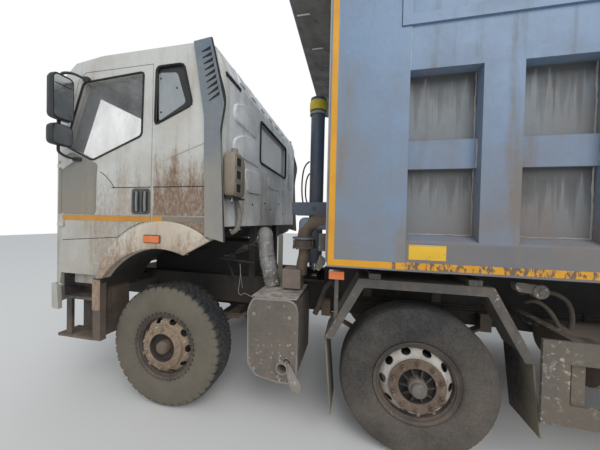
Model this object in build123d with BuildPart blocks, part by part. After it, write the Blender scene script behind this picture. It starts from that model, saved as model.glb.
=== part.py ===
from build123d import *
import math
import os

# Four-axle dump truck with a front telescopic hoist. Millimetres, +X forward, +Y left, +Z up.
# The origin is on the ground, at the middle of the length and of the width.

# Clearances
GAP = 0.3  # seat gap between neighbouring pieces
AIR = 6.0  # gap round a piece that moves

# Axles and tyres
AXLE1_X = 3600.0
AXLE2_X = AXLE1_X - 2100.0
AXLE3_X = AXLE2_X - 3050.0
AXLE4_X = AXLE3_X - 1350.0
TYRE_R = 548.0
AXLE_Z = TYRE_R
TYRE_W = 290.0
TYRE_SIDES = 30
TREAD_HALF = 112.0
SHOULDER_R = 520.0
BULGE_R = 415.0
RIM_SEAT_R = 262.0
RIM_FLANGE_R = 300.0
RIM_HALF = 122.0
WHEEL_SIDES = 24
STEER_Y = 1010.0
TWIN_IN_Y = 765.0
TWIN_OUT_Y = 1095.0
NUT_FACE = 168.0  # outboard of a steered tyre's middle plane
HAND_HOLES = 10
HAND_HOLE_R = 24.0
HAND_HOLE_CIRCLE_R = 212.0
STEER_DISC = RIM_HALF - 30.0  # face of the disc, outboard of the middle plane
TWIN_DISC_OUT = 60.0 - RIM_HALF
TWIN_DISC_IN = RIM_HALF
BRAKE_R = 200.0
HUB_R = 118.0
TWIN_HUB_R = 130.0
CAP_R = 52.0
SPINDLE_R = 45.0
RUN_GAP = 0.08  # radial gap of a shaft in its bore
KINGPIN_Y = 850.0
KINGPIN_R = 24.0

# Frame and subframe
RAIL_Y = 430.0
RAIL_TOP = 1060.0
RAIL_H = 300.0
RAIL_FLANGE = 85.0
RAIL_WEB = 10.0
RAIL_FRONT = 4780.0
RAIL_REAR = -4150.0
SUB_H = 160.0
SUB_W = 80.0
SUB_FRONT = 2250.0
SUB_TOP = RAIL_TOP + SUB_H

JAW_Z = ((872.0, 897.0), (942.0, 967.0))
JAW_PIN_X = RAIL_REAR - 55.0
JAW_BORE_R = 20.1

# Bed
BED_FRONT = AXLE1_X - 1452.0
BED_REAR = -4960.0
BED_Y = 1275.0
WALL_IN = 1167.0
PANEL_Y = 1175.0
BED_BOTTOM = 1382.0
RAIL_LOW_TOP = 1586.0
RAIL_LOW_SLOPE = 1625.0
BED_RAIL_TOP = 2992.0
BED_RAIL_TOP_LOW = BED_RAIL_TOP - 287.0
MID_RAIL = (2068.0, 2259.0)
MID_RAIL_Y = 1215.0
CORNER_LEN = 518.0
POST_W = 220.0
BAY = 430.0
BAYS = 10
FLOOR_TOP = 1462.0
FLOOR_T = 12.0
SILL_Y = (340.0, 424.0)
SILL_BOTTOM = SUB_TOP + GAP
BOARD_TOP = BED_RAIL_TOP + 458.0
BOARD_Y = (1235.0, 1290.0)
BOARD_FRONT = AXLE1_X - 1913.0
WALL_T = 60.0
GATE_PIN_X = BED_REAR - 45.0
GATE_PIN_Z = BED_RAIL_TOP - 90.0
GATE_PIN_R = 16.0
CANOPY_FRONT = 2535.0
CANOPY_TOP = BED_RAIL_TOP + 568.0
GATE_REAR = BED_REAR - 90.0

# Tip hinge and hoist
TIP_X = -4250.0
TIP_Z = 1180.0
TIP_PIN_R = 30.0
TIP_EYE_R = 68.0
HOIST_X = 2420.0
HOIST_TOP_Z = 1850.0  # trunnion on the bed
HOIST_FOOT_Z = 1000.0
HOIST_STAGES = (  # outer radius, lower end, upper end
    (85.0, 1190.0, 3200.0),
    (70.0, 1150.0, 3170.0),
    (56.0, 1110.0, 3140.0),
    (42.0, 1060.0, 3110.0),
)
HOIST_EYE_R = 42.0
HOIST_EYE_HALF = 72.0
TRUNNION_R = 30.0
YOKE_Y = (118.0, 150.0)
YOKE_FRONT = 2690.0

# Cab
CAB_Y = 1240.0
CAB_SKIN = 60.0
CAB_FRONT = AXLE1_X + 1360.0
CAB_REAR = AXLE1_X - 600.0
CAB_ROOF = 3120.0
CAB_FLOOR = 1640.0
CAB_SKIRT = 1172.0
CAB_LOW = 1062.0
SCREEN_HALF = 960.0
REAR_WINDOW_Y = (-620.0, 430.0)
REAR_WINDOW_Z = (2345.0, 2800.0)
SCREEN_FOOT = (AXLE1_X + 1330.0, 2120.0)
SCREEN_HEAD = (AXLE1_X + 985.0, 2990.0)
DOOR_FRONT = AXLE1_X + 1030.0
DOOR_REAR = AXLE1_X + 40.0
DOOR_SILL = 1474.0
DOOR_HEAD = 2995.0
DOOR_T = 60.0
TILT_X = AXLE1_X + 1280.0
TILT_Z = 1010.0
TILT_PIN_R = 20.0
LID_TOP = 2060.0
LID_BOTTOM = 1220.0
LID_HALF = 840.0
LID_T = 40.0
LID_HINGE_X = CAB_FRONT + 12.0
LID_HINGE_Z = LID_TOP + 14.0
LID_HINGE_Y = (-600.0, 600.0)
LID_PIN_R = 5.0
MIRROR_MAST_X = AXLE1_X + 880.0
MIRROR_MAST_Y = 1400.0
MIRROR_HEADS = (  # X, Y and Z limits of the main and the wide-angle head
    ((AXLE1_X + 790.0, AXLE1_X + 900.0), (1300.0, 1500.0), (2500.0, 2890.0)),
    ((AXLE1_X + 790.0, AXLE1_X + 905.0), (1300.0, 1490.0), (2290.0, 2480.0)),
)

# Exhaust and fender
SILENCER_X = (AXLE1_X - 1220.0, AXLE1_X - 790.0)
SILENCER_Y = (560.0, 1100.0)
SILENCER_Z = (340.0, 1060.0)
TAIL_PIPE = (AXLE1_X - 1093.0, 500.0)
PIPE_X = 2410.0
PIPE_Y = 760.0
PIPE_R = 56.0
PIPE_FLANGE_R = 112.0
PIPE_SPLIT = 1530.0  # joint face between chassis and bed
PIPE_BEND_Z = PIPE_SPLIT + 150.0
FENDER_TOP = 1295.0
FENDER_FRONT = (AXLE1_X - 1439.0, 835.0)
FENDER_REAR = (AXLE1_X - 2780.0, 829.0)

os.makedirs("parts", exist_ok=True)
made_parts = {}


def block(x, y, z, mode=Mode.ADD):
    """Rectangular block between pairs of limits."""
    with Locations(((x[0] + x[1]) / 2, (y[0] + y[1]) / 2, (z[0] + z[1]) / 2)):
        Box(abs(x[1] - x[0]), abs(y[1] - y[0]), abs(z[1] - z[0]), mode=mode)


def side_plate(points, y, mode=Mode.ADD):
    """Outline given in X and Z, filling Y between two limits."""
    with BuildSketch(Plane.XZ.offset(-y[1])) as outline:
        with BuildLine():
            Polyline(*points, close=True)
        make_face()
    extrude(outline.sketch, amount=y[1] - y[0], mode=mode)


def plan_plate(points, z, mode=Mode.ADD):
    """Outline given in X and Y, filling Z between two limits."""
    with BuildSketch(Plane.XY.offset(z[0])) as outline:
        with BuildLine():
            Polyline(*points, close=True)
        make_face()
    extrude(outline.sketch, amount=z[1] - z[0], mode=mode)


def bar_y(x, z, radius, y, mode=Mode.ADD):
    """Round bar along Y."""
    with BuildSketch(Plane.XZ.offset(-y[1])) as outline:
        with Locations((x, z)):
            Circle(radius)
    extrude(outline.sketch, amount=y[1] - y[0], mode=mode)


def bar_x(y, z, radius, x, mode=Mode.ADD):
    """Round bar along X."""
    with BuildSketch(Plane.YZ.offset(x[0])) as outline:
        with Locations((y, z)):
            Circle(radius)
    extrude(outline.sketch, amount=x[1] - x[0], mode=mode)


def bar_z(x, y, radius, z, mode=Mode.ADD):
    """Round upright bar."""
    with BuildSketch(Plane.XY.offset(z[0])) as outline:
        with Locations((x, y)):
            Circle(radius)
    extrude(outline.sketch, amount=z[1] - z[0], mode=mode)


def round_drum(x, radius, y, sides, mode=Mode.ADD):
    """Many-sided drum on an axle, with one corner at the bottom."""
    with BuildSketch(Plane.XZ.offset(-y[1])) as outline:
        with Locations((x, AXLE_Z)):
            RegularPolygon(radius, sides, rotation=-90)
    extrude(outline.sketch, amount=y[1] - y[0], mode=mode)


def keep(name, body):
    """Labels a finished piece and writes it."""
    body.label = name
    export_step(body, f"parts/{name}.step")
    made_parts[name] = body


# Chassis frame: two channels, and cross members and brackets seated on them
with BuildPart() as frame_rails:
    with BuildSketch(Plane.YZ.offset(RAIL_REAR)):
        for side in (1, -1):
            with BuildLine():
                Polyline(
                    (side * RAIL_Y, RAIL_TOP),
                    (side * RAIL_Y, RAIL_TOP - RAIL_H),
                    (side * (RAIL_Y - RAIL_FLANGE), RAIL_TOP - RAIL_H),
                    (side * (RAIL_Y - RAIL_FLANGE), RAIL_TOP - RAIL_H + RAIL_WEB),
                    (side * (RAIL_Y - RAIL_WEB), RAIL_TOP - RAIL_H + RAIL_WEB),
                    (side * (RAIL_Y - RAIL_WEB), RAIL_TOP - RAIL_WEB),
                    (side * (RAIL_Y - RAIL_FLANGE), RAIL_TOP - RAIL_WEB),
                    (side * (RAIL_Y - RAIL_FLANGE), RAIL_TOP),
                    close=True,
                )
            make_face()
    extrude(amount=RAIL_FRONT - RAIL_REAR)
    web_in = RAIL_Y - RAIL_WEB - GAP
    for x in (4700.0, 1750.0, 700.0, -700.0, -2225.0, -3500.0, -4100.0):
        block((x - 50, x + 50), (-web_in, web_in), (RAIL_TOP - 200, RAIL_TOP - 90))
    # cross member and ears of the hoist's foot
    block((HOIST_X - 70, HOIST_X + 70), (-web_in, web_in), (840, 930))
    for side in (1, -1):
        ear = sorted((side * 78.0, side * 108.0))
        side_plate(
            [(HOIST_X - 70, 930), (HOIST_X + 70, 930), (HOIST_X + 45, 1040), (HOIST_X - 45, 1040)],
            ear,
        )
    for side in (1, -1):
        bracket = sorted((side * (RAIL_Y + GAP), side * (RAIL_Y + 30)))
        block((RAIL_FRONT - 120, TILT_X + 30), bracket, (TILT_Z - 35, TILT_Z + 25))
        bar_y(TILT_X, TILT_Z, TILT_PIN_R, sorted((side * (RAIL_Y + GAP), side * 514.0)))
        post = sorted((side * (RAIL_Y - 70), side * (RAIL_Y - 2)))
        block((3040, 3110), post, (RAIL_TOP + GAP, CAB_FLOOR - GAP))
    # towing jaw on the rear cross member
    for level in JAW_Z:
        block((RAIL_REAR - 100, RAIL_REAR + 1), (-60, 60), level)
    bar_z(JAW_PIN_X, 0, JAW_BORE_R, (JAW_Z[0][0] - 1, JAW_Z[1][1] + 1), mode=Mode.SUBTRACT)
keep("frame_rails", frame_rails.part)

# Subframe with the brackets of the tip hinge at its rear end
with BuildPart() as subframe:
    for side in (1, -1):
        block((RAIL_REAR, SUB_FRONT), sorted((side * (RAIL_Y - SUB_W), side * RAIL_Y)), (RAIL_TOP, SUB_TOP))
    inner = RAIL_Y - SUB_W - GAP
    for x in (2150.0, 900.0, -300.0, -1500.0, -2700.0, -4100.0):
        block((x - 40, x + 40), (-inner, inner), (RAIL_TOP + 20, SUB_TOP - 20))
    for side in (1, -1):
        plate = sorted((side * (RAIL_Y + GAP), side * (RAIL_Y + 40)))
        side_plate(
            [
                (RAIL_REAR + 260, 900),
                (RAIL_REAR + 260, SUB_TOP - 20),
                (RAIL_REAR, SUB_TOP - 20),
                (TIP_X, TIP_Z + TIP_EYE_R),
                (TIP_X - TIP_EYE_R, TIP_Z),
                (TIP_X - TIP_EYE_R * 0.7, TIP_Z - TIP_EYE_R * 0.7),
                (RAIL_REAR, 900),
            ],
            plate,
        )
        bar_y(TIP_X, TIP_Z, TIP_EYE_R, plate)
        bar_y(TIP_X, TIP_Z, TIP_PIN_R + RUN_GAP, plate, mode=Mode.SUBTRACT)
keep("subframe", subframe.part)

# Steered axle beams: a drop-centre beam with kingpin bosses
SPRING_Y = 480.0
KING_BOSS_R = 46.0
KING_BOSS_H = 150.0
with BuildPart() as steer_axles:
    for x in (AXLE1_X, AXLE2_X):
        with BuildSketch(Plane.YZ.offset(x - 50)):
            with BuildLine():
                Polyline(
                    (-KINGPIN_Y, AXLE_Z + 55),
                    (-SPRING_Y - 70, AXLE_Z - 20),
                    (-300, AXLE_Z - 70),
                    (300, AXLE_Z - 70),
                    (SPRING_Y + 70, AXLE_Z - 20),
                    (KINGPIN_Y, AXLE_Z + 55),
                    (KINGPIN_Y, AXLE_Z - 50),
                    (SPRING_Y + 70, AXLE_Z - 130),
                    (300, AXLE_Z - 185),
                    (-300, AXLE_Z - 185),
                    (-SPRING_Y - 70, AXLE_Z - 130),
                    (-KINGPIN_Y, AXLE_Z - 50),
                    close=True,
                )
            make_face()
        extrude(amount=100)
        for side in (1, -1):
            bar_z(x, side * KINGPIN_Y, KING_BOSS_R, (AXLE_Z - KING_BOSS_H / 2, AXLE_Z + KING_BOSS_H / 2))
            bar_z(
                x, side * KINGPIN_Y, KINGPIN_R + RUN_GAP,
                (AXLE_Z - KING_BOSS_H / 2, AXLE_Z + KING_BOSS_H / 2), mode=Mode.SUBTRACT,
            )
            seat = sorted((side * (SPRING_Y - 45), side * (SPRING_Y + 45)))
            block((x - 80, x + 80), seat, (AXLE_Z - 60, AXLE_Z + 20))
keep("steer_axles", steer_axles.part)

# Drive axles: tube, differential bowl and hub spindles
with BuildPart() as drive_axles:
    for x in (AXLE3_X, AXLE4_X):
        bar_y(x, AXLE_Z, 85, (-TWIN_IN_Y + 175, TWIN_IN_Y - 175))
        bar_y(x, AXLE_Z, SPINDLE_R, (-TWIN_OUT_Y + 60, TWIN_OUT_Y - 60))
        bar_x(0, AXLE_Z, 205, (x - 130, x + 130))
        bar_x(0, AXLE_Z + 40, 75, (x + 120, x + 330))
        for side in (1, -1):
            seat = sorted((side * (SPRING_Y - 45), side * (SPRING_Y + 45)))
            block((x - 70, x + 70), seat, (AXLE_Z - 40, AXLE_Z + 120))
keep("drive_axles", drive_axles.part)

# Leaf springs: two on each steered axle, two inverted packs over the bogie
with BuildPart() as leaf_springs:
    for x in (AXLE1_X, AXLE2_X):
        low = AXLE_Z + 20 + GAP
        for side in (1, -1):
            pack = sorted((side * (SPRING_Y - 40), side * (SPRING_Y + 40)))
            side_plate(
                [
                    (x - 720, 790), (x - 420, low + 70), (x, low + 60), (x + 420, low + 70),
                    (x + 720, 790), (x + 720, 770), (x + 420, low + 45), (x + 200, low + 20),
                    (x + 80, low), (x - 80, low), (x - 200, low + 20), (x - 420, low + 45),
                    (x - 720, 770),
                ],
                pack,
            )
            hanger = sorted((side * (RAIL_Y + GAP), side * (SPRING_Y + 40)))
            for end in (-1, 1):
                block((x + end * 720 - 45, x + end * 720 + 45), hanger, (740, 900))
    mid = (AXLE3_X + AXLE4_X) / 2
    low = AXLE_Z + 120 + GAP
    for side in (1, -1):
        pack = sorted((side * (RAIL_Y + 8), side * (SPRING_Y + 40)))
        side_plate(
            [
                (AXLE4_X - 60, low), (AXLE4_X - 60, low + 30), (mid - 250, low + 150),
                (mid + 250, low + 150), (AXLE3_X + 60, low + 30), (AXLE3_X + 60, low),
                (mid + 350, low + 60), (mid + 90, low + 20), (mid + 90, AXLE_Z - 40),
                (mid - 90, AXLE_Z - 40), (mid - 90, low + 20), (mid - 350, low + 60),
            ],
            pack,
        )
        saddle = sorted((side * (RAIL_Y + GAP), side * (RAIL_Y + 40)))
        side_plate([(mid - 160, 960), (mid + 160, 960), (mid + 70, low + 100), (mid - 70, low + 100)], saddle)
keep("leaf_springs", leaf_springs.part)

# Steering knuckles: fork round the beam's boss, backing plate and spindle
SPINDLE_END = STEER_Y + 120.0
for name, x, side in (
    ("knuckle_1_left", AXLE1_X, 1),
    ("knuckle_1_right", AXLE1_X, -1),
    ("knuckle_2_left", AXLE2_X, 1),
    ("knuckle_2_right", AXLE2_X, -1),
):
    with BuildPart() as knuckle:
        boss_top = AXLE_Z + KING_BOSS_H / 2 + GAP
        boss_low = AXLE_Z - KING_BOSS_H / 2 - GAP
        arm = sorted((side * (KINGPIN_Y - 40), side * (KINGPIN_Y + 75)))
        block((x - 45, x + 45), arm, (boss_top, boss_top + 45))
        block((x - 45, x + 45), arm, (boss_low - 45, boss_low))
        neck = sorted((side * (KINGPIN_Y + KING_BOSS_R + AIR), side * (KINGPIN_Y + 75)))
        block((x - 60, x + 60), neck, (boss_low - 45, boss_top + 45))
        bar_z(x, side * KINGPIN_Y, KINGPIN_R, (boss_low - 45, boss_top + 45))
        bar_y(x, AXLE_Z, SPINDLE_R, sorted((side * (KINGPIN_Y + 60), side * SPINDLE_END)))
    keep(name, knuckle.part)


def rim(y, face, out):
    """Rim with flanges and a disc, face off its middle plane; out is the outboard sense."""
    round_drum(0, RIM_SEAT_R, (y - RIM_HALF, y + RIM_HALF), WHEEL_SIDES)
    for end in (-1, 1):
        edge = sorted((y + end * (RIM_HALF - 10), y + end * RIM_HALF))
        round_drum(0, RIM_FLANGE_R, edge, WHEEL_SIDES)
    disc = sorted((y + out * face, y + out * (face - 16)))
    round_drum(0, RIM_SEAT_R - 14, (y - RIM_HALF - 1, disc[0]), WHEEL_SIDES, mode=Mode.SUBTRACT)
    round_drum(0, RIM_SEAT_R - 14, (disc[1], y + RIM_HALF + 1), WHEEL_SIDES, mode=Mode.SUBTRACT)
    return disc


def hand_holes(disc):
    """Ring of hand holes through the disc."""
    with BuildSketch(Plane.XZ.offset(-disc[1] - 1)) as holes:
        with Locations((0, AXLE_Z)):
            with PolarLocations(HAND_HOLE_CIRCLE_R, HAND_HOLES):
                RegularPolygon(HAND_HOLE_R, 8)
    extrude(holes.sketch, amount=disc[1] - disc[0] + 2, mode=Mode.SUBTRACT)


# One worn tyre: many-sided rings from bead to bead round a bored middle
TYRE_SECTIONS = (  # distance from the middle plane, radius
    (-RIM_HALF + 6, RIM_FLANGE_R + 2),
    (-TYRE_W / 2, BULGE_R),
    (-TREAD_HALF - 18, SHOULDER_R),
    (-TREAD_HALF + 8, TYRE_R),
    (TREAD_HALF - 8, TYRE_R),
    (TREAD_HALF + 18, SHOULDER_R),
    (TYRE_W / 2, BULGE_R),
    (RIM_HALF - 6, RIM_FLANGE_R + 2),
)
with BuildPart() as one_tyre:
    rings = []
    for level, radius in TYRE_SECTIONS:
        with BuildSketch(Plane.XZ.offset(-level)) as ring:
            with Locations((0, AXLE_Z)):
                RegularPolygon(radius, TYRE_SIDES, rotation=-90)
        rings.append(ring.sketch)
    loft(rings, ruled=True)
    round_drum(0, RIM_SEAT_R + GAP, (-TYRE_W, TYRE_W), WHEEL_SIDES, mode=Mode.SUBTRACT)
    for end in (-1, 1):
        bead = sorted((end * (RIM_HALF - 10 - GAP), end * TYRE_W))
        round_drum(0, RIM_FLANGE_R + GAP, bead, WHEEL_SIDES, mode=Mode.SUBTRACT)

# One steered wheel: rim, disc with hand holes, hub over the spindle, and cap
HUB_INNER = KINGPIN_Y + 85 - STEER_Y
BORE_END = SPINDLE_END + 3 - STEER_Y
with BuildPart() as one_wheel:
    disc = rim(0, STEER_DISC, 1)
    hand_holes(disc)
    bar_y(0, AXLE_Z, BRAKE_R, (HUB_INNER, disc[0]))
    bar_y(0, AXLE_Z, HUB_R, (HUB_INNER, NUT_FACE))
    bar_y(0, AXLE_Z, SPINDLE_R + RUN_GAP, (HUB_INNER - 5, BORE_END), mode=Mode.SUBTRACT)
    bar_y(0, AXLE_Z, CAP_R, (NUT_FACE, NUT_FACE + 50))

# Twin wheels on one hub, middle planes at the two tyres
TWIN_BORE_END = TWIN_OUT_Y - 57.0
with BuildPart() as twin_wheel:
    disc = rim(TWIN_OUT_Y, TWIN_DISC_OUT, 1)
    hand_holes(disc)
    rim(TWIN_IN_Y, TWIN_DISC_IN, 1)
    bar_y(0, AXLE_Z, BRAKE_R, (TWIN_IN_Y - 150, TWIN_IN_Y + RIM_HALF))
    bar_y(0, AXLE_Z, TWIN_HUB_R, (TWIN_IN_Y, TWIN_OUT_Y + 60))
    bar_y(0, AXLE_Z, SPINDLE_R + RUN_GAP, (TWIN_IN_Y - 151, TWIN_BORE_END), mode=Mode.SUBTRACT)

# Wheels and tyres in their places; the right-hand ones are turned about the upright
for number, x in ((1, AXLE1_X), (2, AXLE2_X)):
    for word, side in (("left", 1), ("right", -1)):
        with BuildPart() as tyre_part:
            with Locations((x, side * STEER_Y, 0)):
                add(one_tyre.part)
        keep(f"tyre_{number}_{word}", tyre_part.part)
        with BuildPart() as wheel_part:
            with Locations(Location((x, side * STEER_Y, 0), (0, 0, 90 - 90 * side))):
                add(one_wheel.part)
        keep(f"wheel_{number}_{word}", wheel_part.part)
for number, x in ((3, AXLE3_X), (4, AXLE4_X)):
    for word, side in (("left", 1), ("right", -1)):
        with BuildPart() as tyre_pair:
            with Locations((x, side * TWIN_IN_Y, 0), (x, side * TWIN_OUT_Y, 0)):
                add(one_tyre.part)
        keep(f"tyres_{number}_{word}", tyre_pair.part)
        with BuildPart() as wheel_pair:
            with Locations(Location((x, 0, 0), (0, 0, 90 - 90 * side))):
                add(twin_wheel.part)
        keep(f"wheels_{number}_{word}", wheel_pair.part)

# Engine and gearbox as plain masses, and the shafts to the drive axles
GEARBOX_X = (2700.0, 3120.0)
SHAFT_R = 55.0
with BuildPart() as drivetrain:
    block((GEARBOX_X[1] + GAP, 4420), (-330, 330), (700, 1440))
    mount_y = RAIL_Y - RAIL_WEB - GAP
    for x in (3240.0, 4340.0):
        block((x - 40, x + 40), (-mount_y, mount_y), (780, 850))
    block(GEARBOX_X, (-220, 220), (700, 1040))
    shaft_z = AXLE_Z + 40
    fall, run = shaft_z - 760, AXLE3_X + 330 - GEARBOX_X[0]
    shaft_x = GEARBOX_X[0] - SHAFT_R * fall / run - GAP
    with BuildSketch(Plane(origin=(shaft_x, 0, 760), z_dir=(run, 0, fall))):
        Circle(SHAFT_R)
    extrude(amount=math.hypot(run, fall) - 8)
    bar_x(0, shaft_z, 50, (AXLE4_X + 330, AXLE3_X - 130))
keep("drivetrain", drivetrain.part)

# Hoist: cover tube pinned to the bed, with three stages that slide out of it downwards
HOIST_NAMES = ("hoist_cover", "hoist_stage_1", "hoist_stage_2", "hoist_rod")
for index, name in enumerate(HOIST_NAMES):
    radius, low, high = HOIST_STAGES[index]
    with BuildPart() as tube:
        bar_z(HOIST_X, 0, radius, (low, high))
        if index == 0:
            bar_z(HOIST_X, 0, radius + 9, (high - 90, high - 15))
        if index < len(HOIST_STAGES) - 1:
            inner_r, inner_top = HOIST_STAGES[index + 1][0], HOIST_STAGES[index + 1][2]
            bar_z(HOIST_X, 0, inner_r + GAP, (low - 1, inner_top + GAP), mode=Mode.SUBTRACT)
        if index == 0:
            for pin in ((radius - 8, YOKE_Y[1]), (-YOKE_Y[1], 8 - radius)):
                bar_y(HOIST_X, HOIST_TOP_Z, TRUNNION_R, pin)
        if index == len(HOIST_STAGES) - 1:
            bar_y(HOIST_X, HOIST_FOOT_Z, HOIST_EYE_R, (-HOIST_EYE_HALF, HOIST_EYE_HALF))
            block((HOIST_X - 38, HOIST_X + 38), (-45, 45), (HOIST_FOOT_Z, low))
    keep(name, tube.part)

# Bed floor: plate on cross members, two sills, and the ears and pins of the tip hinge
FLOOR_FRONT = BED_FRONT - WALL_T - GAP
with BuildPart() as bed_floor:
    block((BED_REAR, FLOOR_FRONT), (-WALL_IN + GAP, WALL_IN - GAP), (FLOOR_TOP - FLOOR_T, FLOOR_TOP))
    for side in (1, -1):
        sill = sorted((side * SILL_Y[0], side * SILL_Y[1]))
        block((TIP_X + 20, FLOOR_FRONT), sill, (SILL_BOTTOM, FLOOR_TOP - FLOOR_T))
        block((BED_REAR, TIP_X + 20), sill, (SILL_BOTTOM + 90, FLOOR_TOP - FLOOR_T))
        for ear in ((RAIL_Y + 46, RAIL_Y + 76), (SILL_Y[0], RAIL_Y - 6)):
            plate = sorted((side * ear[0], side * ear[1]))
            side_plate(
                [
                    (TIP_X - 90, FLOOR_TOP - FLOOR_T), (TIP_X + 90, FLOOR_TOP - FLOOR_T),
                    (TIP_X + 55, TIP_Z), (TIP_X + 25, TIP_Z - 55), (TIP_X - 25, TIP_Z - 55), (TIP_X - 55, TIP_Z),
                ],
                plate,
            )
        bar_y(TIP_X, TIP_Z, TIP_PIN_R, sorted((side * SILL_Y[0], side * (RAIL_Y + 76))))
    count = 12
    pitch = (FLOOR_FRONT - BED_REAR - 80) / (count - 1)
    for i in range(count):
        x = BED_REAR + 40 + i * pitch
        block((x - 40, x + 40), (-WALL_IN + GAP, WALL_IN - GAP), (BED_BOTTOM, FLOOR_TOP - FLOOR_T))
keep("bed_floor", bed_floor.part)

# Front wall with upright ribs and the yoke that carries the hoist's trunnion
with BuildPart() as bed_front_wall:
    block((BED_FRONT - WALL_T, BED_FRONT - 20), (-WALL_IN + GAP, WALL_IN - GAP), (FLOOR_TOP - FLOOR_T, BED_RAIL_TOP))
    for z in ((FLOOR_TOP - FLOOR_T, 1560), (MID_RAIL[0], MID_RAIL[1]), (BED_RAIL_TOP - 120, BED_RAIL_TOP)):
        block((BED_FRONT - WALL_T, BED_FRONT), (-WALL_IN + GAP, WALL_IN - GAP), z)
    for y in (-900, -480, 480, 900):
        block((BED_FRONT - WALL_T, BED_FRONT), (y - 50, y + 50), (FLOOR_TOP - FLOOR_T, BED_RAIL_TOP))
    block((BED_FRONT - WALL_T, BED_FRONT + 30), (-330, 330), (HOIST_TOP_Z - 80, HOIST_TOP_Z + 80))
    for side in (1, -1):
        arm = sorted((side * YOKE_Y[0], side * YOKE_Y[1]))
        side_plate(
            [
                (BED_FRONT + 29, HOIST_TOP_Z - 80), (BED_FRONT + 29, HOIST_TOP_Z + 80),
                (YOKE_FRONT, HOIST_TOP_Z + 76), (YOKE_FRONT, HOIST_TOP_Z - 76),
            ],
            arm,
        )
        bar_y(HOIST_X, HOIST_TOP_Z, TRUNNION_R + RUN_GAP, arm, mode=Mode.SUBTRACT)
    # heating pipe: flange over the one on the chassis, and the bend into the wall
    bar_z(PIPE_X, PIPE_Y, PIPE_FLANGE_R, (PIPE_SPLIT + AIR, PIPE_SPLIT + AIR + 15))
    bar_z(PIPE_X, PIPE_Y, PIPE_R, (PIPE_SPLIT + AIR, PIPE_BEND_Z))
    with Locations((PIPE_X, PIPE_Y, PIPE_BEND_Z)):
        Sphere(PIPE_R)
    bar_x(PIPE_Y, PIPE_BEND_Z, PIPE_R, (BED_FRONT - WALL_T + 5, PIPE_X))
keep("bed_front_wall", bed_front_wall.part)

# Side walls: panel, rails, corner panel and posts
with BuildPart() as bed_sides:
    side_y = (WALL_IN, BED_Y)
    block((BED_REAR, BED_FRONT), (WALL_IN, PANEL_Y), (BED_BOTTOM, BED_RAIL_TOP))
    with BuildSketch(Plane.YZ.offset(BED_REAR)):
        with BuildLine():
            Polyline(
                (PANEL_Y, BED_BOTTOM), (BED_Y, BED_BOTTOM), (BED_Y, RAIL_LOW_TOP),
                (PANEL_Y, RAIL_LOW_SLOPE), close=True,
            )
        make_face()
    extrude(amount=BED_FRONT - BED_REAR)
    block((BED_REAR, BED_FRONT), side_y, (BED_RAIL_TOP_LOW, BED_RAIL_TOP))
    block((BED_REAR, BED_FRONT), (PANEL_Y, MID_RAIL_Y), MID_RAIL)
    block((BED_FRONT - CORNER_LEN, BED_FRONT), side_y, (BED_BOTTOM, BED_RAIL_TOP))
    for i in range(BAYS):
        x = BED_FRONT - CORNER_LEN - BAY - i * (POST_W + BAY)
        end = max(x - POST_W, BED_REAR)
        block((end, x), side_y, (BED_BOTTOM, BED_RAIL_TOP))
    lug = (WALL_IN + 3, WALL_IN + 43)
    block((GATE_PIN_X - 40, BED_REAR), lug, (GATE_PIN_Z - 45, GATE_PIN_Z + 45))
    bar_y(GATE_PIN_X, GATE_PIN_Z, GATE_PIN_R + RUN_GAP, lug, mode=Mode.SUBTRACT)
    mirror(about=Plane.XZ)
keep("bed_sides", bed_sides.part)

# Extension boards on top of the side walls, framed, lapping outside the rails
with BuildPart() as extension_boards:
    block((BED_REAR, BOARD_FRONT), (BOARD_Y[0], BOARD_Y[1]), (BED_RAIL_TOP + GAP, BOARD_TOP))
    for i in range(6):
        span = (BOARD_FRONT - BED_REAR - 60) / 6
        x = BED_REAR + 60 + i * span
        field_z = (BED_RAIL_TOP + 70, BOARD_TOP - 60)
        block((x, x + span - 60), (BOARD_Y[0] + 25, BOARD_Y[1] + 1), field_z, mode=Mode.SUBTRACT)
    mirror(about=Plane.XZ)
keep("extension_boards", extension_boards.part)

# Canopy: front shield rising from the front wall and leaning out over the hoist
with BuildPart() as canopy:
    side_plate(
        [
            (BED_FRONT - WALL_T, BED_RAIL_TOP + GAP), (BED_FRONT, BED_RAIL_TOP + GAP),
            (BED_FRONT, CANOPY_TOP - 130), (CANOPY_FRONT, CANOPY_TOP - 30), (CANOPY_FRONT, CANOPY_TOP),
            (BED_FRONT - WALL_T, CANOPY_TOP - 90),
        ],
        (-BED_Y + 40, BED_Y - 40),
    )
    for side in (1, -1):
        block(
            (BOARD_FRONT + GAP, BED_FRONT - WALL_T), sorted((side * (BOARD_Y[0] - 20), side * BOARD_Y[0])),
            (BED_RAIL_TOP + GAP, CANOPY_TOP - 95),
        )
keep("canopy", canopy.part)

# Tailgate hung from pins at its top corners
GATE_FRONT = BED_REAR - GAP
with BuildPart() as tailgate:
    block((GATE_FRONT - 40, GATE_FRONT), (-WALL_IN + 8, WALL_IN - 8), (BED_BOTTOM + 20, BED_RAIL_TOP))
    for z in ((BED_BOTTOM + 20, RAIL_LOW_TOP), MID_RAIL, (BED_RAIL_TOP - 150, BED_RAIL_TOP)):
        block((GATE_REAR, GATE_FRONT), (-WALL_IN + 8, WALL_IN - 8), z)
    for y in (-1080, -540, 0, 540, 1080):
        block((GATE_REAR, GATE_FRONT), (y - 55, y + 55), (BED_BOTTOM + 20, BED_RAIL_TOP))
    for pin in ((WALL_IN - 60, WALL_IN + 45), (-WALL_IN - 45, 60 - WALL_IN)):
        bar_y(GATE_PIN_X, GATE_PIN_Z, GATE_PIN_R, pin)
keep("tailgate", tailgate.part)


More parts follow.
